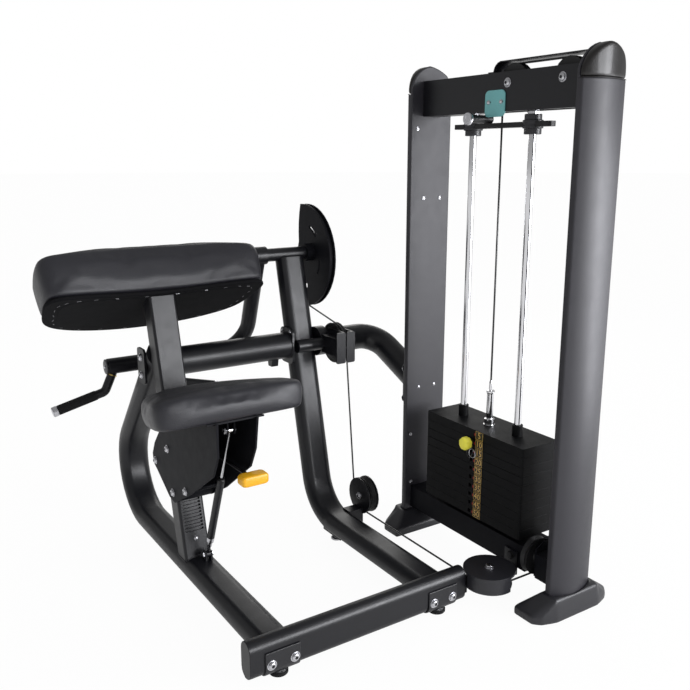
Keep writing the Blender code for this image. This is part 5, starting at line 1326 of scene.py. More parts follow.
@dataclass(frozen=True)
class CurlArm:
    """The arm that the user lifts, its grips, its shaft and the cam."""

    bar_y: float = 0.940
    bar_z: float = 0.590
    bar_left: float = -0.104
    grip_radius: float = 0.0145
    root: Flat = (0.074, 0.590)
    bend: Flat = (0.112, 0.509)
    tip: Flat = (0.278, 0.468)
    shaft_end: Point = (0.3612, 0.820, 0.925)
    shaft_radius: float = 0.0149
    sleeve_at: float = 0.030
    sleeve_rise: float = 0.0012
    cap_long: float = 0.0145
    cap_rise: float = 0.0018
    ring_at: float = 0.0285
    ring_rise: float = 0.0022
    plug_tall: float = 0.0024

    def dress(self, shop: Workshop) -> None:
        """Refines the arm's members and gives them their finishes.

        Args:
            shop: the workshop that places the pieces.
        """
        shop.refine("curl_arm", BLACK_PAINT, 0.0009)
        shop.refine("cam", SATIN_PAINT, 0.0006, degrees=50)
        shop.refine("curl_shaft", BRIGHT_STEEL, 0.0006)
        for node in ("grip_left", "grip_right"):
            shop.refine(node, BLACK_PAINT, 0.0004)

    def _point(self, side: int, flat: Flat) -> Vector:
        """A point of a grip's line, on its side of the machine."""
        return Vector((side * flat[0], self.bar_y, flat[1]))

    def build_grips(self, shop: Workshop) -> None:
        """Places the rubber sleeves, the bright end caps and the rings at the grips' roots.

        Args:
            shop: the workshop that places the pieces.
        """
        sleeves, caps, rings = bmesh.new(), bmesh.new(), bmesh.new()
        for side in (-1, 1):
            bend, tip = self._point(side, self.bend), self._point(side, self.tip)
            line = (tip - bend).normalized()
            radius = self.grip_radius
            long = (tip - bend).length
            grip = in_x(tuple(bend + line * self.sleeve_at), tuple(line))
            wide = radius + self.sleeve_rise
            sleeve = [(radius, 0), (wide, 0.001), (wide, long - 0.047), (radius, long - 0.046)]
            turn_form(sleeves, sleeve, grip)
            wide = radius + self.cap_rise
            cap = [(radius, 0), (wide, 0.0006), (wide, 0.0135), (radius, 0.0160)]
            cap += [(radius * 0.62, 0.0168), (0, 0.0170)]
            turn_form(caps, cap, in_x(tuple(tip - line * self.cap_long), tuple(line)))
            root = self._point(side, self.root)
            drop = (bend - root).normalized()
            wide = radius + self.ring_rise
            ring = [(radius, 0), (wide, 0.0008), (wide, 0.0038), (radius, 0.0046)]
            turn_form(rings, ring, in_x(tuple(root + drop * self.ring_at), tuple(drop)))
        shop.make("grip_sleeves", sleeves, 50, RUBBER, "curl", "grip_left")
        shop.make("grip_end_caps", caps, 50, BRIGHT_STEEL, "curl")
        shop.make("grip_root_rings", rings, 50, BRASS, "curl")

    def build_plug(self, shop: Workshop) -> None:
        """Places the bright plug in the bar's open end, with the screw that holds it.

        Args:
            shop: the workshop that places the pieces.
        """
        shape = bmesh.new()
        place = in_x((self.bar_left, self.bar_y, self.bar_z), (-1, 0, 0))
        top = self.plug_tall
        profile = [(0.0240, 0), (0.0245, 0.0008), (0.0235, 0.0018), (0.0160, top), (0, top)]
        turn_form(shape, profile, place)
        shop.make("bar_end_plug", shape, 50, MATT_MOULDING, "curl", "curl_arm")
        seat = [((self.bar_left - top, self.bar_y, self.bar_z), (-1, 0, 0))]
        shop.fasteners("bar_end_screw", FRAME_SCREW, seat, "curl")

    def build_hub(self, shop: Workshop) -> None:
        """Places the collars and the end bolt of the shaft.

        Args:
            shop: the workshop that places the pieces.
        """
        shape = bmesh.new()
        bore = self.shaft_radius
        ring = [(bore, 0), (0.0205, 0), (0.0205, 0.005), (0.0190, 0.006), (bore, 0.006)]
        turn_form(shape, ring, in_x(self.shaft_end, (-1, 0, 0)), bored=True)
        shop.make("shaft_collar", shape, 50, BLACK_PAINT, "curl", "curl_arm")
        shop.fasteners("shaft_end_bolt", AXLE_BOLT, [(self.shaft_end, (-1, 0, 0))], "curl")

    def build(self, shop: Workshop) -> None:
        """Builds everything on the curl arm.

        Args:
            shop: the workshop that places the pieces.
        """
        self.dress(shop)
        self.build_grips(shop)
        self.build_plug(shop)
        self.build_hub(shop)


# Seat, its carriage, the lever and the gas spring


@dataclass(frozen=True)
class Seat:
    """The seat on its carriage, with the release lever and the gas spring."""

    carriage_face: float = -0.059
    bars: tuple[Flat, ...] = ((0.5127, 0.304), (0.6446, 0.360), (0.4157, 0.342), (0.542, 0.428))
    grip_low: Point = (0.0, 0.168, 0.425)
    grip_size: Point = (0.076, 0.040, 0.028)
    grip_margin: float = 0.002
    grip_corner: float = 0.009
    spring_foot: Point = (0.017, 0.460, 0.112)
    spring_head: Point = (0.017, 0.275, 0.549)
    fitting_at: float = 0.013
    seal_at: float = 0.2895

    def dress(self, shop: Workshop) -> None:
        """Refines the carriage and the gas spring.

        Args:
            shop: the workshop that places the pieces.
        """
        shop.refine("seat_carriage", SATIN_PAINT, 0.0006)
        shop.refine("gas_spring_body", BLACK_PAINT, 0.0005)
        shop.refine("gas_spring_rod", CHROME, 0.0003)

    def build_lever(self, shop: Workshop) -> None:
        """Places the lever's two materials: the painted pawl and rod, and the yellow grip.

        Args:
            shop: the workshop that places the pieces.
        """
        box_low, box_high = Vector(self.grip_low), Vector(self.grip_low) + Vector(self.grip_size)
        shape = form_of_node("release_lever")
        margin = self.grip_margin
        gone = [
            face for face in shape.faces
            if all(
                box_low[i] - margin < vert.co[i] < box_high[i] + margin
                for vert in face.verts for i in range(3)
            )
        ]
        bmesh.ops.delete(shape, geom=gone, context="FACES")
        pawl = shade(piece_of("lever_pawl_and_rod", shape), 40)
        shop.place(pawl, BLACK_PAINT, "lever", "release_lever", ("release_lever",))
        shape = bmesh.new()
        outline = rounded(self.grip_size[0], self.grip_size[1], self.grip_corner, steps=6)
        middle = (box_low + box_high) / 2
        half = self.grip_size[2] / 2
        levels = [(0.80, -1.0), (0.93, -0.86), (1.0, -0.55), (1.0, 0.50), (0.93, 0.84), (0.78, 1.0)]
        rings = []
        for share, height in levels:
            ring = [(x * share, y * share) for x, y in outline]
            rings.append([shape.verts.new(middle + Vector((x, y, half * height))) for x, y in ring])
        for low, high in zip(rings, rings[1:]):
            bridge(shape, low, high)
        shape.faces.new(rings[0])
        shape.faces.new(rings[-1])
        grip = shade(piece_of("lever_grip", shape), 30)
        soften(grip, 0.0015, 2, 25)
        shop.place(grip, WARM_YELLOW, "lever", "release_lever")

    def build_spring_fittings(self, shop: Workshop) -> None:
        """Places the bright lower fitting of the gas spring and its seal.

        Args:
            shop: the workshop that places the pieces.
        """
        foot, head = Vector(self.spring_foot), Vector(self.spring_head)
        line = (head - foot).normalized()
        shape = bmesh.new()
        fitting = [(0.0050, 0), (0.0055, 0.002), (0.0055, 0.020), (0.0074, 0.023), (0.0074, 0.040)]
        fitting += [(0.0112, 0.044), (0.0112, 0.058), (0.0105, 0.060)]
        turn_form(shape, fitting, in_x(tuple(foot + line * self.fitting_at), tuple(line)))
        shop.make("gas_spring_fitting", shape, 40, BRIGHT_STEEL, "gas_body")
        shape = bmesh.new()
        seal = [(0.0048, 0), (0.0114, 0), (0.0114, 0.010), (0.0095, 0.012), (0.0048, 0.012)]
        turn_form(shape, seal, in_x(tuple(foot + line * self.seal_at), tuple(line)), bored=True)
        shop.make("gas_spring_seal", shape, 40, NYLON, "gas_body", "gas_spring_body")

    def fasten(self, shop: Workshop) -> None:
        """Places the carriage's bolts and the bolts at the gas spring's head.

        Args:
            shop: the workshop that places the pieces.
        """
        seats = [((self.carriage_face, y, z), (-1, 0, 0)) for y, z in self.bars]
        shop.fasteners("carriage_bolts", CLAMP_BOLT, seats, "seat")
        far = [((-self.carriage_face, y, z), (1, 0, 0)) for y, z in self.bars]
        shop.fasteners("carriage_nuts", HEX_BOLT, far, "seat")
        y, z = self.spring_head[1:]
        head = [((0.0292, y, z), (1, 0, 0)), ((0.0048, y, z), (-1, 0, 0))]
        shop.fasteners("gas_spring_head_bolts", SMALL_HEX, head, "seat")

    def build(self, shop: Workshop) -> None:
        """Builds everything on the seat.

        Args:
            shop: the workshop that places the pieces.
        """
        SEAT_CUSHION.build(shop)
        self.dress(shop)
        self.build_lever(shop)
        self.build_spring_fittings(shop)
        self.fasten(shop)


# Tower


@dataclass(frozen=True)
class Tower:
    """The weight tower: uprights with caps and boots, the top beam, the guide rods and the tray."""

    middle_x: float = 0.822
    near_face: float = -0.1785
    far_face: float = 0.4620
    stack_y: float = 0.150
    rod_spacing: float = 0.236
    yoke_z: float = 1.330
    collar_radius: float = 0.0225
    collar_bore: float = 0.0106
    nut_z: float = 1.3563
    nut_apothem: float = 0.0148
    nut_tall: float = 0.0078
    nut_bore: float = 0.0104
    yoke_bolt: Point = (0.732, 0.195, 1.3479)
    beam_faces: Flat = (0.788, 0.856)
    top_pulleys_y: Flat = (-0.094, 0.100)
    top_pulley_z: float = 1.440
    cable_plate: Point = (0.7847, 0.143, 1.3915)
    tower_pulley: Flat = (0.790, 0.132)
    tray_joint: Point = (0.7617, -0.025, 0.108)
    flange_y: float = 0.5150
    flange_z: float = 0.500
    seam_half: float = 0.0792
    seam_crease: float = 0.0111
    seam_z: float = 1.4301
    seam_bulge: float = 0.006
    screws: tuple[Flat, ...] = (
        (0.797, 1.117), (0.861, 1.117), (0.792, 0.497), (0.857, 0.497), (0.768, 1.329),
        (0.762, 0.336), (0.767, 0.164),
    )

    def dress(self, shop: Workshop) -> None:
        """Refines the tower's members and gives them their finishes.

        Args:
            shop: the workshop that places the pieces.
        """
        # The uprights take the lifted black, a painted light on the frame's own black paint.
        shop.refine("near_post", BLACK_PAINT_PAINTED_LIGHT, 0.0060, 4, 25)
        shop.refine("far_post", BLACK_PAINT_PAINTED_LIGHT, 0.0040, 4, 25)
        for node in ("near_post_cap", "far_post_cap"):
            shop.mould(node, GLOSSY_MOULDING, 0.0026, 44)
        for node in ("near_boot", "far_boot"):
            shop.mould(node, MATT_MOULDING, 0.0030, 30)
        shop.refine("top_beam", BLACK_PAINT, 0.0010)
        shop.refine("top_guard", BLACK_PAINT, 0.0004)
        shop.refine("cable_plate", ZINC, 0.0004)
        shop.refine("yoke_bar", NYLON, 0.0008)
        shop.refine("base_tray", SATIN_PAINT, 0.0008)
        shop.refine("stack_buffer", RUBBER, 0.0010)
        for node in ("guide_rod_near", "guide_rod_far"):
            shop.turned_rod(node, CHROME)

    def fasten(self, shop: Workshop) -> None:
        """Places the tower's screws, bolts and nuts.

        Args:
            shop: the workshop that places the pieces.
        """
        far = [((x, self.far_face, z), (0, -1, 0)) for x, z in self.screws]
        near = [((x, self.near_face, z), (0, 1, 0)) for x, z in self.screws[:4]]
        shop.fasteners("upright_screws", FRAME_SCREW, far + near, "frame")
        beam = [
            ((x, y, self.top_pulley_z), (side, 0, 0))
            for x, side in zip(self.beam_faces, (-1, 1)) for y in self.top_pulleys_y
        ]
        shop.fasteners("top_pulley_bolts", AXLE_BOLT, beam, "frame")
        x, y, z = self.cable_plate
        plate = [((x, y + side * 0.0244, z), (-1, 0, 0)) for side in (-1, 1)]
        shop.fasteners("cable_plate_screws", FRAME_SCREW, plate, "frame")
        x, z = self.tower_pulley
        tower = [((x, -0.117, z), (0, -1, 0)), ((x, -0.079, z), (0, 1, 0))]
        shop.fasteners("tower_pulley_bolts", AXLE_BOLT, tower, "frame")
        joint = [(self.tray_joint, (-1, 0, 0))]
        shop.fasteners("tray_joint_bolt", HEX_BOLT, joint, "frame", NYLON)
        flange = [
            ((self.middle_x + dx, self.flange_y, self.flange_z + dz), (0, 1, 0))
            for dx in (-0.044, 0.044) for dz in (-0.052, 0.052)
        ]
        shop.fasteners("link_flange_bolts", HEX_BOLT, flange, "frame")

    def build_yoke_details(self, shop: Workshop) -> None:
        """Places the stepped collars, the rod nuts and the bright disc on the yoke's cross bolt.

        Args:
            shop: the workshop that places the pieces.
        """
        collars = bmesh.new()
        wall, wide = self.collar_radius + 0.0008, self.collar_radius + 0.0052
        bore = self.collar_bore
        steps = [(bore, -0.0264), (wall - 0.0012, -0.0264), (wall, -0.0252), (wall, -0.0118)]
        steps += [(wide, -0.0104), (wide, -0.0036), (wide - 0.0014, -0.0026), (wide - 0.0014, 0.0026)]
        steps += [(wide, 0.0036), (wide, 0.0104), (wall, 0.0118), (wall, 0.0252), (wall - 0.0012, 0.0264)]
        steps += [(bore, 0.0264)]
        for side in (-1, 1):
            rod_y = self.stack_y + side * self.rod_spacing / 2
            turn_form(collars, steps, Matrix.Translation((self.middle_x, rod_y, self.yoke_z)), 40, bored=True)
        collars = shade(piece_of("yoke_collars", collars), 35)
        soften(collars, 0.0005, 2, 30)
        shop.place(collars, MATT_MOULDING, "frame", "yoke_bar")
        shape = bmesh.new()
        for side in (-1, 1):
            rod_y = self.stack_y + side * self.rod_spacing / 2
            place = Matrix.Translation((self.middle_x, rod_y, self.nut_z))
            walls, bore = hexagon(self.nut_apothem), [self.nut_bore] * RING_SIDES
            levels = [(walls, 0.0), (walls, self.nut_tall), (bore, self.nut_tall), (bore, 0.0)]
            rings = [ring_of(shape, place, reach, height) for reach, height in levels]
            for low, high in zip(rings, rings[1:] + rings[:1]):
                bridge(shape, low, high)
        nuts = shade(piece_of("rod_nuts", shape), 30)
        soften(nuts, 0.0006)
        shop.place(nuts, BRIGHT_STEEL, "frame")
        shape = bmesh.new()
        disc = [(0, -0.0086), (0.0162, -0.0086), (0.0172, -0.0076), (0.0172, -0.0004), (0.0160, 0.0012)]
        disc += [(0.0070, 0.0012), (0.0062, 0.0002), (0, 0.0002)]
        turn_form(shape, disc, in_x(self.yoke_bolt, (-1, 0, 0)))
        shop.make("yoke_bolt_disc", shape, 40, BRIGHT_STEEL, "frame")

    def build_seams(self, shop: Workshop) -> None:
        """Places the raised bead where each cap sits on its upright.

        Args:
            shop: the workshop that places the pieces.
        """
        for side, face, name in ((-1, self.near_face, "near"), (1, self.far_face, "far")):
            left, right = self.middle_x - self.seam_half, self.middle_x + self.seam_half
            crease = self.middle_x - self.seam_crease
            shares = [i / 9 for i in range(1, 9)]
            bulges = [self.seam_bulge * 4 * t * (1 - t) for t in shares]
            flat = [(right, 0.012), (right, 0.018)]
            flat += [(right + (crease - right) * t, 0.018 + 0.027 * t + b) for t, b in zip(shares, bulges)]
            flat += [(crease, 0.0452)]
            flat += [(crease + (left - crease) * t, 0.045 - 0.027 * t + b) for t, b in zip(shares, bulges)]
            flat += [(left, 0.018), (left, 0.012)]
            shape = bmesh.new()
            line = [Vector((x, face + side * out, self.seam_z)) for x, out in flat]
            tube_form(shape, line, 0.0010, 8)
            bead = shade(piece_of(f"{name}_cap_bead", shape), 60)
            shop.place(bead, GLOSSY_MOULDING, "frame", "near_post_cap")

    def build(self, shop: Workshop) -> None:
        """Builds the tower.

        Args:
            shop: the workshop that places the pieces.
        """
        self.dress(shop)
        self.fasten(shop)
        self.build_yoke_details(shop)
        self.build_seams(shop)


# Weight stack


@dataclass(frozen=True)
class WeightStack:
    """The plates, their numbers, the stem and the selector pin."""

    left: float = 0.752
    middle_y: float = 0.150
    base: float = 0.170
    pitch: float = 0.0278
    count: int = 9
    label_y: float = 0.1165
    label_wide: float = 0.031
    label_tall: float = 0.0250
    label_frame: float = 0.0009
    label_rise: float = 0.00055
    digit_tall: float = 0.0262
    digit_rise: float = 0.00012
    plate_step: int = 5
    knob_z: float = 0.4063
    knob_radius: float = 0.0200
    knob_sides: int = 48
    flute_deep: float = 0.045
    ring_radius: float = 0.0135
    ring_wire: float = 0.0014
    cord_radius: float = 0.0011
    stem_x: float = 0.822

    def dress(self, shop: Workshop) -> None:
        """Refines the plates and the stem.

        Args:
            shop: the workshop that places the pieces.
        """
        for i in range(1, self.count + 1):
            shop.refine(f"weight_plate_{i:02d}", CAST_PLATE, 0.0013, 2, 30)
        shop.refine("head_plate", CAST_PLATE, 0.0013, 2, 30)
        shop.refine("selector_stem", CHROME, 0.0003)

    def _label_frame(self, level: int) -> Matrix:
        """The frame of a level's label: X to the reader's right, Z out of the plate.

        Args:
            level: the plate's place, counted from the lowest.

        Returns:
            The label's frame.
        """
        made = Matrix.Identity(4)
        made.col[0][:3] = (0, -1, 0)
        made.col[1][:3] = (0, 0, 1)
        made.col[2][:3] = (-1, 0, 0)
        made.col[3][:3] = (self.left, self.label_y, self.base + (level + 0.5) * self.pitch - 0.0002)
        return made

    def _number(self, shape: bmesh.types.BMesh, words: str, place: Matrix) -> None:
        """Adds a number's raised letters to a shape.

        Args:
            shape: the shape that it is added to.
            words: the number.
            place: the label's frame.
        """
        curve = bpy.data.curves.new("number", "FONT")
        curve.body = words
        curve.size = self.digit_tall
        curve.align_x = "CENTER"
        curve.align_y = "CENTER"
        curve.extrude = self.digit_rise
        curve.resolution_u = 2
        holder = bpy.data.objects.new("number", curve)
        bpy.context.scene.collection.objects.link(holder)
        view = bpy.context.evaluated_depsgraph_get()
        data = bpy.data.meshes.new_from_object(holder.evaluated_get(view))
        data.transform(place @ Matrix.Translation((0, 0, self.label_rise)))
        shape.from_mesh(data)
        bpy.data.objects.remove(holder)
        bpy.data.curves.remove(curve)
        bpy.data.meshes.remove(data)

    def build_labels(self, shop: Workshop) -> None:
        """Places the film and the gold numbers, those of the lifted plates on their own body.

        Args:
            shop: the workshop that places the pieces.
        """
        fixed = self.count - 1
        groups = (("stack", "frame", range(0, fixed)), ("lifted", "weights", range(fixed, fixed + 2)))
        for name, body, levels in groups:
            film, gold, red = bmesh.new(), bmesh.new(), bmesh.new()
            for level in levels:
                place = self._label_frame(level)
                wide, tall = self.label_wide / 2, self.label_tall / 2
                block_form(film, (-wide, -tall, -0.0004), (wide, tall, 0.0003), place)
                line, rise = self.label_frame, self.label_rise
                for height in (tall - line, -tall):
                    block_form(gold, (-wide, height, 0.0002), (wide, height + line, rise), place)
                for across in (-wide, wide - line):
                    block_form(gold, (across, -tall, 0.0002), (across + line, tall, rise), place)
                block_form(red, (-wide - 0.0052, -0.0035, 0.0), (-wide - 0.0022, 0.0035, 0.0005), place)
                self._number(gold, str(self.plate_step * (self.count + 1 - level)), place)
            shop.place(piece_of(f"{name}_label_film", film), LABEL_FILM, body, "weight_plate_01")
            shop.place(piece_of(f"{name}_label_numbers", gold), LABEL_GOLD, body, "selector_pin")
            shop.place(piece_of(f"{name}_label_marks", red), LABEL_RED, body, "selector_pin")

    def build_pin(self, shop: Workshop) -> None:
        """Places the selector pin's shaft, its fluted knob and its ring and lanyard.

        Args:
            shop: the workshop that places the pieces.
        """
        axis = (-1, 0, 0)
        shape = bmesh.new()
        shaft = [(0, -0.082), (0.0035, -0.082), (0.0045, -0.079), (0.0045, 0.004), (0, 0.004)]
        turn_form(shape, shaft, in_x((self.left, self.middle_y, self.knob_z), axis), 20)
        pin = shade(piece_of("selector_pin_shaft", shape), 40)
        shop.place(pin, CHROME, "pin", CHROME_SLOT, ("selector_pin",))
        shape = bmesh.new()
        collar = [(0, 0.0005), (0.0115, 0.0005), (0.0120, 0.002), (0.0110, 0.013), (0, 0.013)]
        turn_form(shape, collar, in_x((self.left, self.middle_y, self.knob_z), axis))
        shop.make("selector_pin_collar", shape, 40, NYLON, "pin", "guide_pulley")
        shape = bmesh.new()
        place = in_x((self.left - 0.0115, self.middle_y, self.knob_z), axis)
        levels = [(0.0, 0.0), (0.62, 0.0), (0.92, 0.0015), (1.0, 0.0050), (1.0, 0.0180), (0.93, 0.0222)]
        levels += [(0.74, 0.0246), (0.0, 0.0250)]
        fluted = [math.cos(TURN * i / self.knob_sides * 8) > 0.35 for i in range(self.knob_sides)]
        rings = []
        for share, height in levels:
            reach = [self.knob_radius * share * (1 - self.flute_deep * flute) for flute in fluted]
            rings.append(ring_of(shape, place, reach if share else [0.0], height))
        for low, high in zip(rings, rings[1:]):
            bridge(shape, low, high)
        knob = shade(piece_of("selector_knob", shape), 40)
        soften(knob, 0.0008, 2, 30)
        shop.place(knob, LEMON_YELLOW, "pin", "selector_pin")
        self._lanyard(shop)

    def _lanyard(self, shop: Workshop) -> None:
        """Places the split ring and the dark cord loop that hang from the pin's collar.

        Args:
            shop: the workshop that places the pieces.
        """
        x = self.left - 0.0075
        centre = Vector((x, self.middle_y - 0.013, self.knob_z - 0.0310))
        reach = self.ring_radius
        ring = [
            centre + Vector((0.0006 * math.sin(2 * a), reach * math.cos(a), reach * math.sin(a)))
            for a in (TURN * i / 40 for i in range(40))
        ]
        shape = bmesh.new()
        tube_form(shape, ring, self.ring_wire, 8, closed=True)
        shop.make("lanyard_ring", shape, 60, BRIGHT_STEEL, "pin")
        loop = [
            (x, 0.1440, self.knob_z - 0.009), (x - 0.001, 0.1350, self.knob_z - 0.016),
            (x - 0.001, 0.1330, self.knob_z - 0.0235), (x - 0.001, 0.1400, self.knob_z - 0.0420),
            (x, 0.1500, self.knob_z - 0.0490), (x + 0.001, 0.1600, self.knob_z - 0.0400),
            (x, 0.1620, self.knob_z - 0.0240), (x, 0.1560, self.knob_z - 0.0090),
        ]
        shape = bmesh.new()
        tube_form(shape, smooth_line([Vector(p) for p in loop], 8), self.cord_radius, 8)
        shop.make("lanyard_cord", shape, 60, CABLE_COAT, "pin", "steel_cable")

    def build_stem_fittings(self, shop: Workshop) -> None:
        """Places the nut, the washers and the crimp between the cable and the stem.

        Args:
            shop: the workshop that places the pieces.
        """
        top = self.base + (self.count + 1) * self.pitch
        shape = bmesh.new()
        place = Matrix.Translation((self.stem_x, self.middle_y, top + 0.0004))
        washers = [(0, 0), (0.0175, 0), (0.0175, 0.0020), (0.0160, 0.0024), (0.0162, 0.0030)]
        washers += [(0.0162, 0.0052), (0.0150, 0.0058), (0.0152, 0.0100), (0.0140, 0.0106)]
        washers += [(0.0140, 0.0180), (0.0090, 0.0200), (0, 0.0200)]
        turn_form(shape, washers, place, 30)
        sleeve = [(0, 0.018), (0.0098, 0.018), (0.0104, 0.020), (0.0104, 0.098), (0.0112, 0.1010)]
        sleeve += [(0.0128, 0.1030), (0.0128, 0.1070), (0.0112, 0.1090), (0.0052, 0.1100)]
        sleeve += [(0.0052, 0.1300), (0.0044, 0.1380), (0.0030, 0.1400), (0, 0.1400)]
        turn_form(shape, sleeve, place, 30)
        shop.make("stem_nut_and_crimp", shape, 35, CHROME, "weights", CHROME_SLOT)

    def build(self, shop: Workshop) -> None:
        """Builds the weight stack.

        Args:
            shop: the workshop that places the pieces.
        """
        self.dress(shop)
        self.build_labels(shop)
        self.build_pin(shop)
        self.build_stem_fittings(shop)


def smooth_line(points: list[Vector], steps: int) -> list[Vector]:
    """A smooth open line through some points.

    Args:
        points: the points that it passes.
        steps: how many points lie on each stretch.

    Returns:
        The line's points.
    """
    ends = [points[0] * 2 - points[1], *points, points[-1] * 2 - points[-2]]
    line = []
    for p0, p1, p2, p3 in zip(ends, ends[1:], ends[2:], ends[3:]):
        for i in range(steps):
            t = i / steps
            line.append(0.5 * (
                2 * p1 + (p2 - p0) * t + (2 * p0 - 5 * p1 + 4 * p2 - p3) * t * t
                + (3 * p1 - p0 - 3 * p2 + p3) * t ** 3
            ))
    return [*line, points[-1]]


# Pulleys and cable


@dataclass(frozen=True)
class CableRun:
    """The pulleys and the cable that runs over them."""

    wheels: tuple[tuple[str, str, Point, Point], ...] = (
        ("guide_pulley", "guide_wheel", (0.606, 0.685, 0.630), (1, 0, 0)),
        ("floor_pulley", "floor_wheel", (0.606, 0.510, 0.138), (1, 0, 0)),
        ("corner_pulley", "corner_wheel", (0.666, -0.038, 0.080), (0, 0, 1)),
        ("tower_pulley", "tower_wheel", (0.790, -0.098, 0.132), (0, 1, 0)),
        ("top_pulley_near", "top_near_wheel", (0.822, -0.094, 1.440), (1, 0, 0)),
        ("top_pulley_far", "top_far_wheel", (0.822, 0.100, 1.440), (1, 0, 0)),
    )

    shield_bore: float = 0.0084
    shield_radius: float = 0.0150
    shield_at: float = 0.0109

    def build(self, shop: Workshop) -> None:
        """Refines the pulleys and the cable, and places each pulley's bearing shields.

        Args:
            shop: the workshop that places the pieces.
        """
        for node, body, place, axis in self.wheels:
            shop.refine(node, NYLON, 0.0009, 2, 25)
            shape = bmesh.new()
            for side in (-1, 1):
                out = Vector(axis) * side
                bore, wide = self.shield_bore, self.shield_radius
                ring = [(bore, 0.0), (wide, 0.0), (wide, 0.0008), (0.0140, 0.0012), (0.0094, 0.0012)]
                ring += [(bore, 0.0008)]
                face = in_x(tuple(Vector(place) + out * self.shield_at), tuple(out))
                turn_form(shape, ring, face, RING_SIDES, bored=True)
            shop.make(f"{node}_shields", shape, 40, BRIGHT_STEEL, body)
        for node in ("steel_cable", "cam_cable"):
            shop.refine(node, CABLE_COAT, 0.0, degrees=60)
        shop.drawn_in("stack_cable", CABLE_COAT, "weights", "frame")


# Light, floor and camera


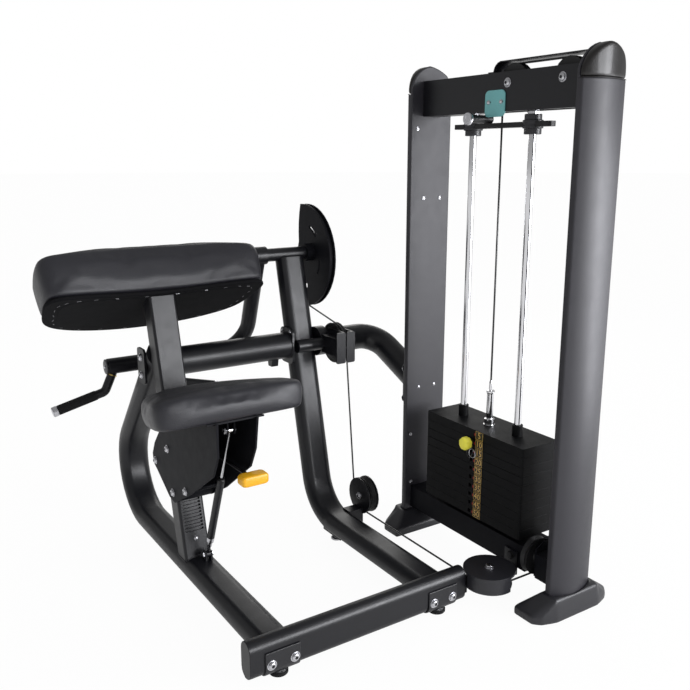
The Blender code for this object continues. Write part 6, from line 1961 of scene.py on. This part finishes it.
@dataclass(frozen=True)
class Studio:
    """A pale room with soft lamps, and the camera at the photograph's place."""

    camera_place: Point = (-0.818, -1.560, 1.250)
    yaw: float = math.radians(33.09)
    pitch: float = math.radians(13.33)
    roll: float = math.radians(-0.06)
    sensor: float = 36
    focal_px: float = 801.7
    frame_px: int = 690
    ambient: float = 0.75
    mirrored: float = 0.36
    floor_glow: float = 0.96
    floor_drop: float = 0.0006
    aim: Point = (0.35, 0.40, 0.70)

    def build_camera(self) -> None:
        """Places the camera."""
        data = bpy.data.cameras.new("camera")
        data.sensor_width = self.sensor
        data.lens = self.focal_px * self.sensor / self.frame_px
        data.clip_start, data.clip_end = 0.05, 200
        camera = bpy.data.objects.new("camera", data)
        bpy.context.scene.collection.objects.link(camera)
        ahead = Vector((
            math.sin(self.yaw) * math.cos(self.pitch),
            math.cos(self.yaw) * math.cos(self.pitch),
            -math.sin(self.pitch),
        ))
        turn = ahead.to_track_quat("-Z", "Y").to_matrix().to_4x4()
        roll = Matrix.Rotation(self.roll, 4, "Z")
        camera.matrix_world = Matrix.Translation(self.camera_place) @ turn @ roll
        bpy.context.scene.camera = camera

    def _background_share(self, tree: bpy.types.NodeTree) -> bpy.types.NodeSocket:
        """How much a ray shows of the white room: all for the camera and glass, a share for gloss.

        Args:
            tree: the nodes of the world or of the floor's material.

        Returns:
            The share, as a socket of those nodes.
        """
        path = tree.nodes.new("ShaderNodeLightPath")
        gloss = tree.nodes.new("ShaderNodeMath")
        gloss.operation = "MULTIPLY"
        gloss.inputs[1].default_value = self.mirrored
        tree.links.new(path.outputs["Is Glossy Ray"], gloss.inputs[0])
        first = tree.nodes.new("ShaderNodeMath")
        first.operation = "MAXIMUM"
        tree.links.new(path.outputs["Is Camera Ray"], first.inputs[0])
        tree.links.new(gloss.outputs[0], first.inputs[1])
        second = tree.nodes.new("ShaderNodeMath")
        second.operation = "MAXIMUM"
        tree.links.new(first.outputs[0], second.inputs[0])
        tree.links.new(path.outputs["Is Transmission Ray"], second.inputs[1])
        return second.outputs[0]

    def build_world(self) -> None:
        """Makes the room: white where it is seen, and a plain soft light on the object."""
        world = bpy.data.worlds.new("room")
        bpy.context.scene.world = world
        world.use_nodes = True
        tree = world.node_tree
        soft = tree.nodes["Background"]
        soft.inputs["Color"].default_value = (1.0, 1.0, 1.0, 1)
        path = tree.nodes.new("ShaderNodeLightPath")
        diffuse = tree.nodes.new("ShaderNodeMath")
        diffuse.operation = "MULTIPLY"
        diffuse.inputs[1].default_value = self.ambient
        tree.links.new(path.outputs["Is Diffuse Ray"], diffuse.inputs[0])
        level = tree.nodes.new("ShaderNodeMath")
        level.operation = "MAXIMUM"
        tree.links.new(self._background_share(tree), level.inputs[0])
        tree.links.new(diffuse.outputs[0], level.inputs[1])
        tree.links.new(level.outputs[0], soft.inputs["Strength"])

    def build_lamp(self, name: str, place: Point, size: Flat, power: float, colour: Colour,
                   gloss_only: bool = False) -> None:
        """Places a soft lamp that points at the object's middle.

        Args:
            name: the lamp's name.
            place: where it stands.
            size: its width and height.
            power: its power in watts.
            colour: its colour.
            gloss_only: True if it shows only in glossy surfaces, like a bright window.
        """
        data = bpy.data.lights.new(name, "AREA")
        data.shape = "RECTANGLE"
        data.size, data.size_y = size
        data.energy = power
        data.color = colour
        lamp = bpy.data.objects.new(name, data)
        lamp.location = place
        ahead = Vector(self.aim) - Vector(place)
        lamp.rotation_euler = ahead.to_track_quat("-Z", "Y").to_euler()
        lamp.visible_diffuse = not gloss_only
        lamp.visible_camera = False
        bpy.context.scene.collection.objects.link(lamp)

    def build_floor(self) -> None:
        """Lays the pale floor, which keeps the object's shadow."""
        shape = bmesh.new()
        bmesh.ops.create_circle(shape, cap_ends=True, segments=64, radius=60)
        bmesh.ops.translate(shape, verts=shape.verts, vec=(0, 0, -self.floor_drop))
        floor = piece_of("floor", shape)
        made = bpy.data.materials.new("pale_floor")
        made.use_nodes = True
        tree = made.node_tree
        shader = tree.nodes["Principled BSDF"]
        shader.inputs["Base Color"].default_value = (0.90, 0.90, 0.90, 1)
        shader.inputs["Roughness"].default_value = 0.9
        shader.inputs["Specular IOR Level"].default_value = 0.1
        glow = tree.nodes.new("ShaderNodeEmission")
        glow.inputs["Color"].default_value = (1, 1, 1, 1)
        glow.inputs["Strength"].default_value = 1.0
        share = tree.nodes.new("ShaderNodeMath")
        share.operation = "MULTIPLY"
        share.inputs[1].default_value = self.floor_glow
        tree.links.new(self._background_share(tree), share.inputs[0])
        mix = tree.nodes.new("ShaderNodeMixShader")
        tree.links.new(share.outputs[0], mix.inputs["Fac"])
        tree.links.new(shader.outputs[0], mix.inputs[1])
        tree.links.new(glow.outputs[0], mix.inputs[2])
        tree.links.new(mix.outputs[0], tree.nodes["Material Output"].inputs["Surface"])
        floor.data.materials.append(made)

    def build(self) -> None:
        """Builds the studio."""
        self.build_world()
        self.build_floor()
        self.build_lamp("window", (2.4, -3.5, 1.45), (3.2, 1.7), 150.0, (0.96, 0.97, 1.0))
        self.build_lamp("window_glass", (2.5, -3.6, 1.50), (3.2, 1.5), 66.0, (0.95, 0.96, 1.0), True)
        self.build_lamp("window_side", (3.0, -3.5, 1.5), (0.7, 1.9), 24.0, (0.95, 0.96, 1.0), True)
        self.build_lamp("panel", (1.22, -0.53, 0.85), (0.36, 0.85), 7.0, (0.95, 0.96, 1.0), True)
        self.build_lamp("back", (2.6, 3.4, 2.0), (2.2, 1.4), 22.0, (1.0, 0.99, 0.97))
        bpy.context.scene.view_settings.view_transform = "Standard"
        self.build_camera()


def main() -> None:
    """Builds the pieces in order."""
    logging.basicConfig(level=logging.INFO, format="%(name)s: %(message)s")
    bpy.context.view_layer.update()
    shop = Workshop()
    seat_frame = SeatFrame()
    seat_frame.dress(shop)
    seat_frame.weld(shop)
    seat_frame.fasten(shop)
    CurlArm().build(shop)
    ARM_PAD.build(shop)
    Seat().build(shop)
    Tower().build(shop)
    WeightStack().build(shop)
    CableRun().build(shop)
    Studio().build()
    LOG.info("%d pieces placed", shop.count)


if __name__ == "__main__":
    main()
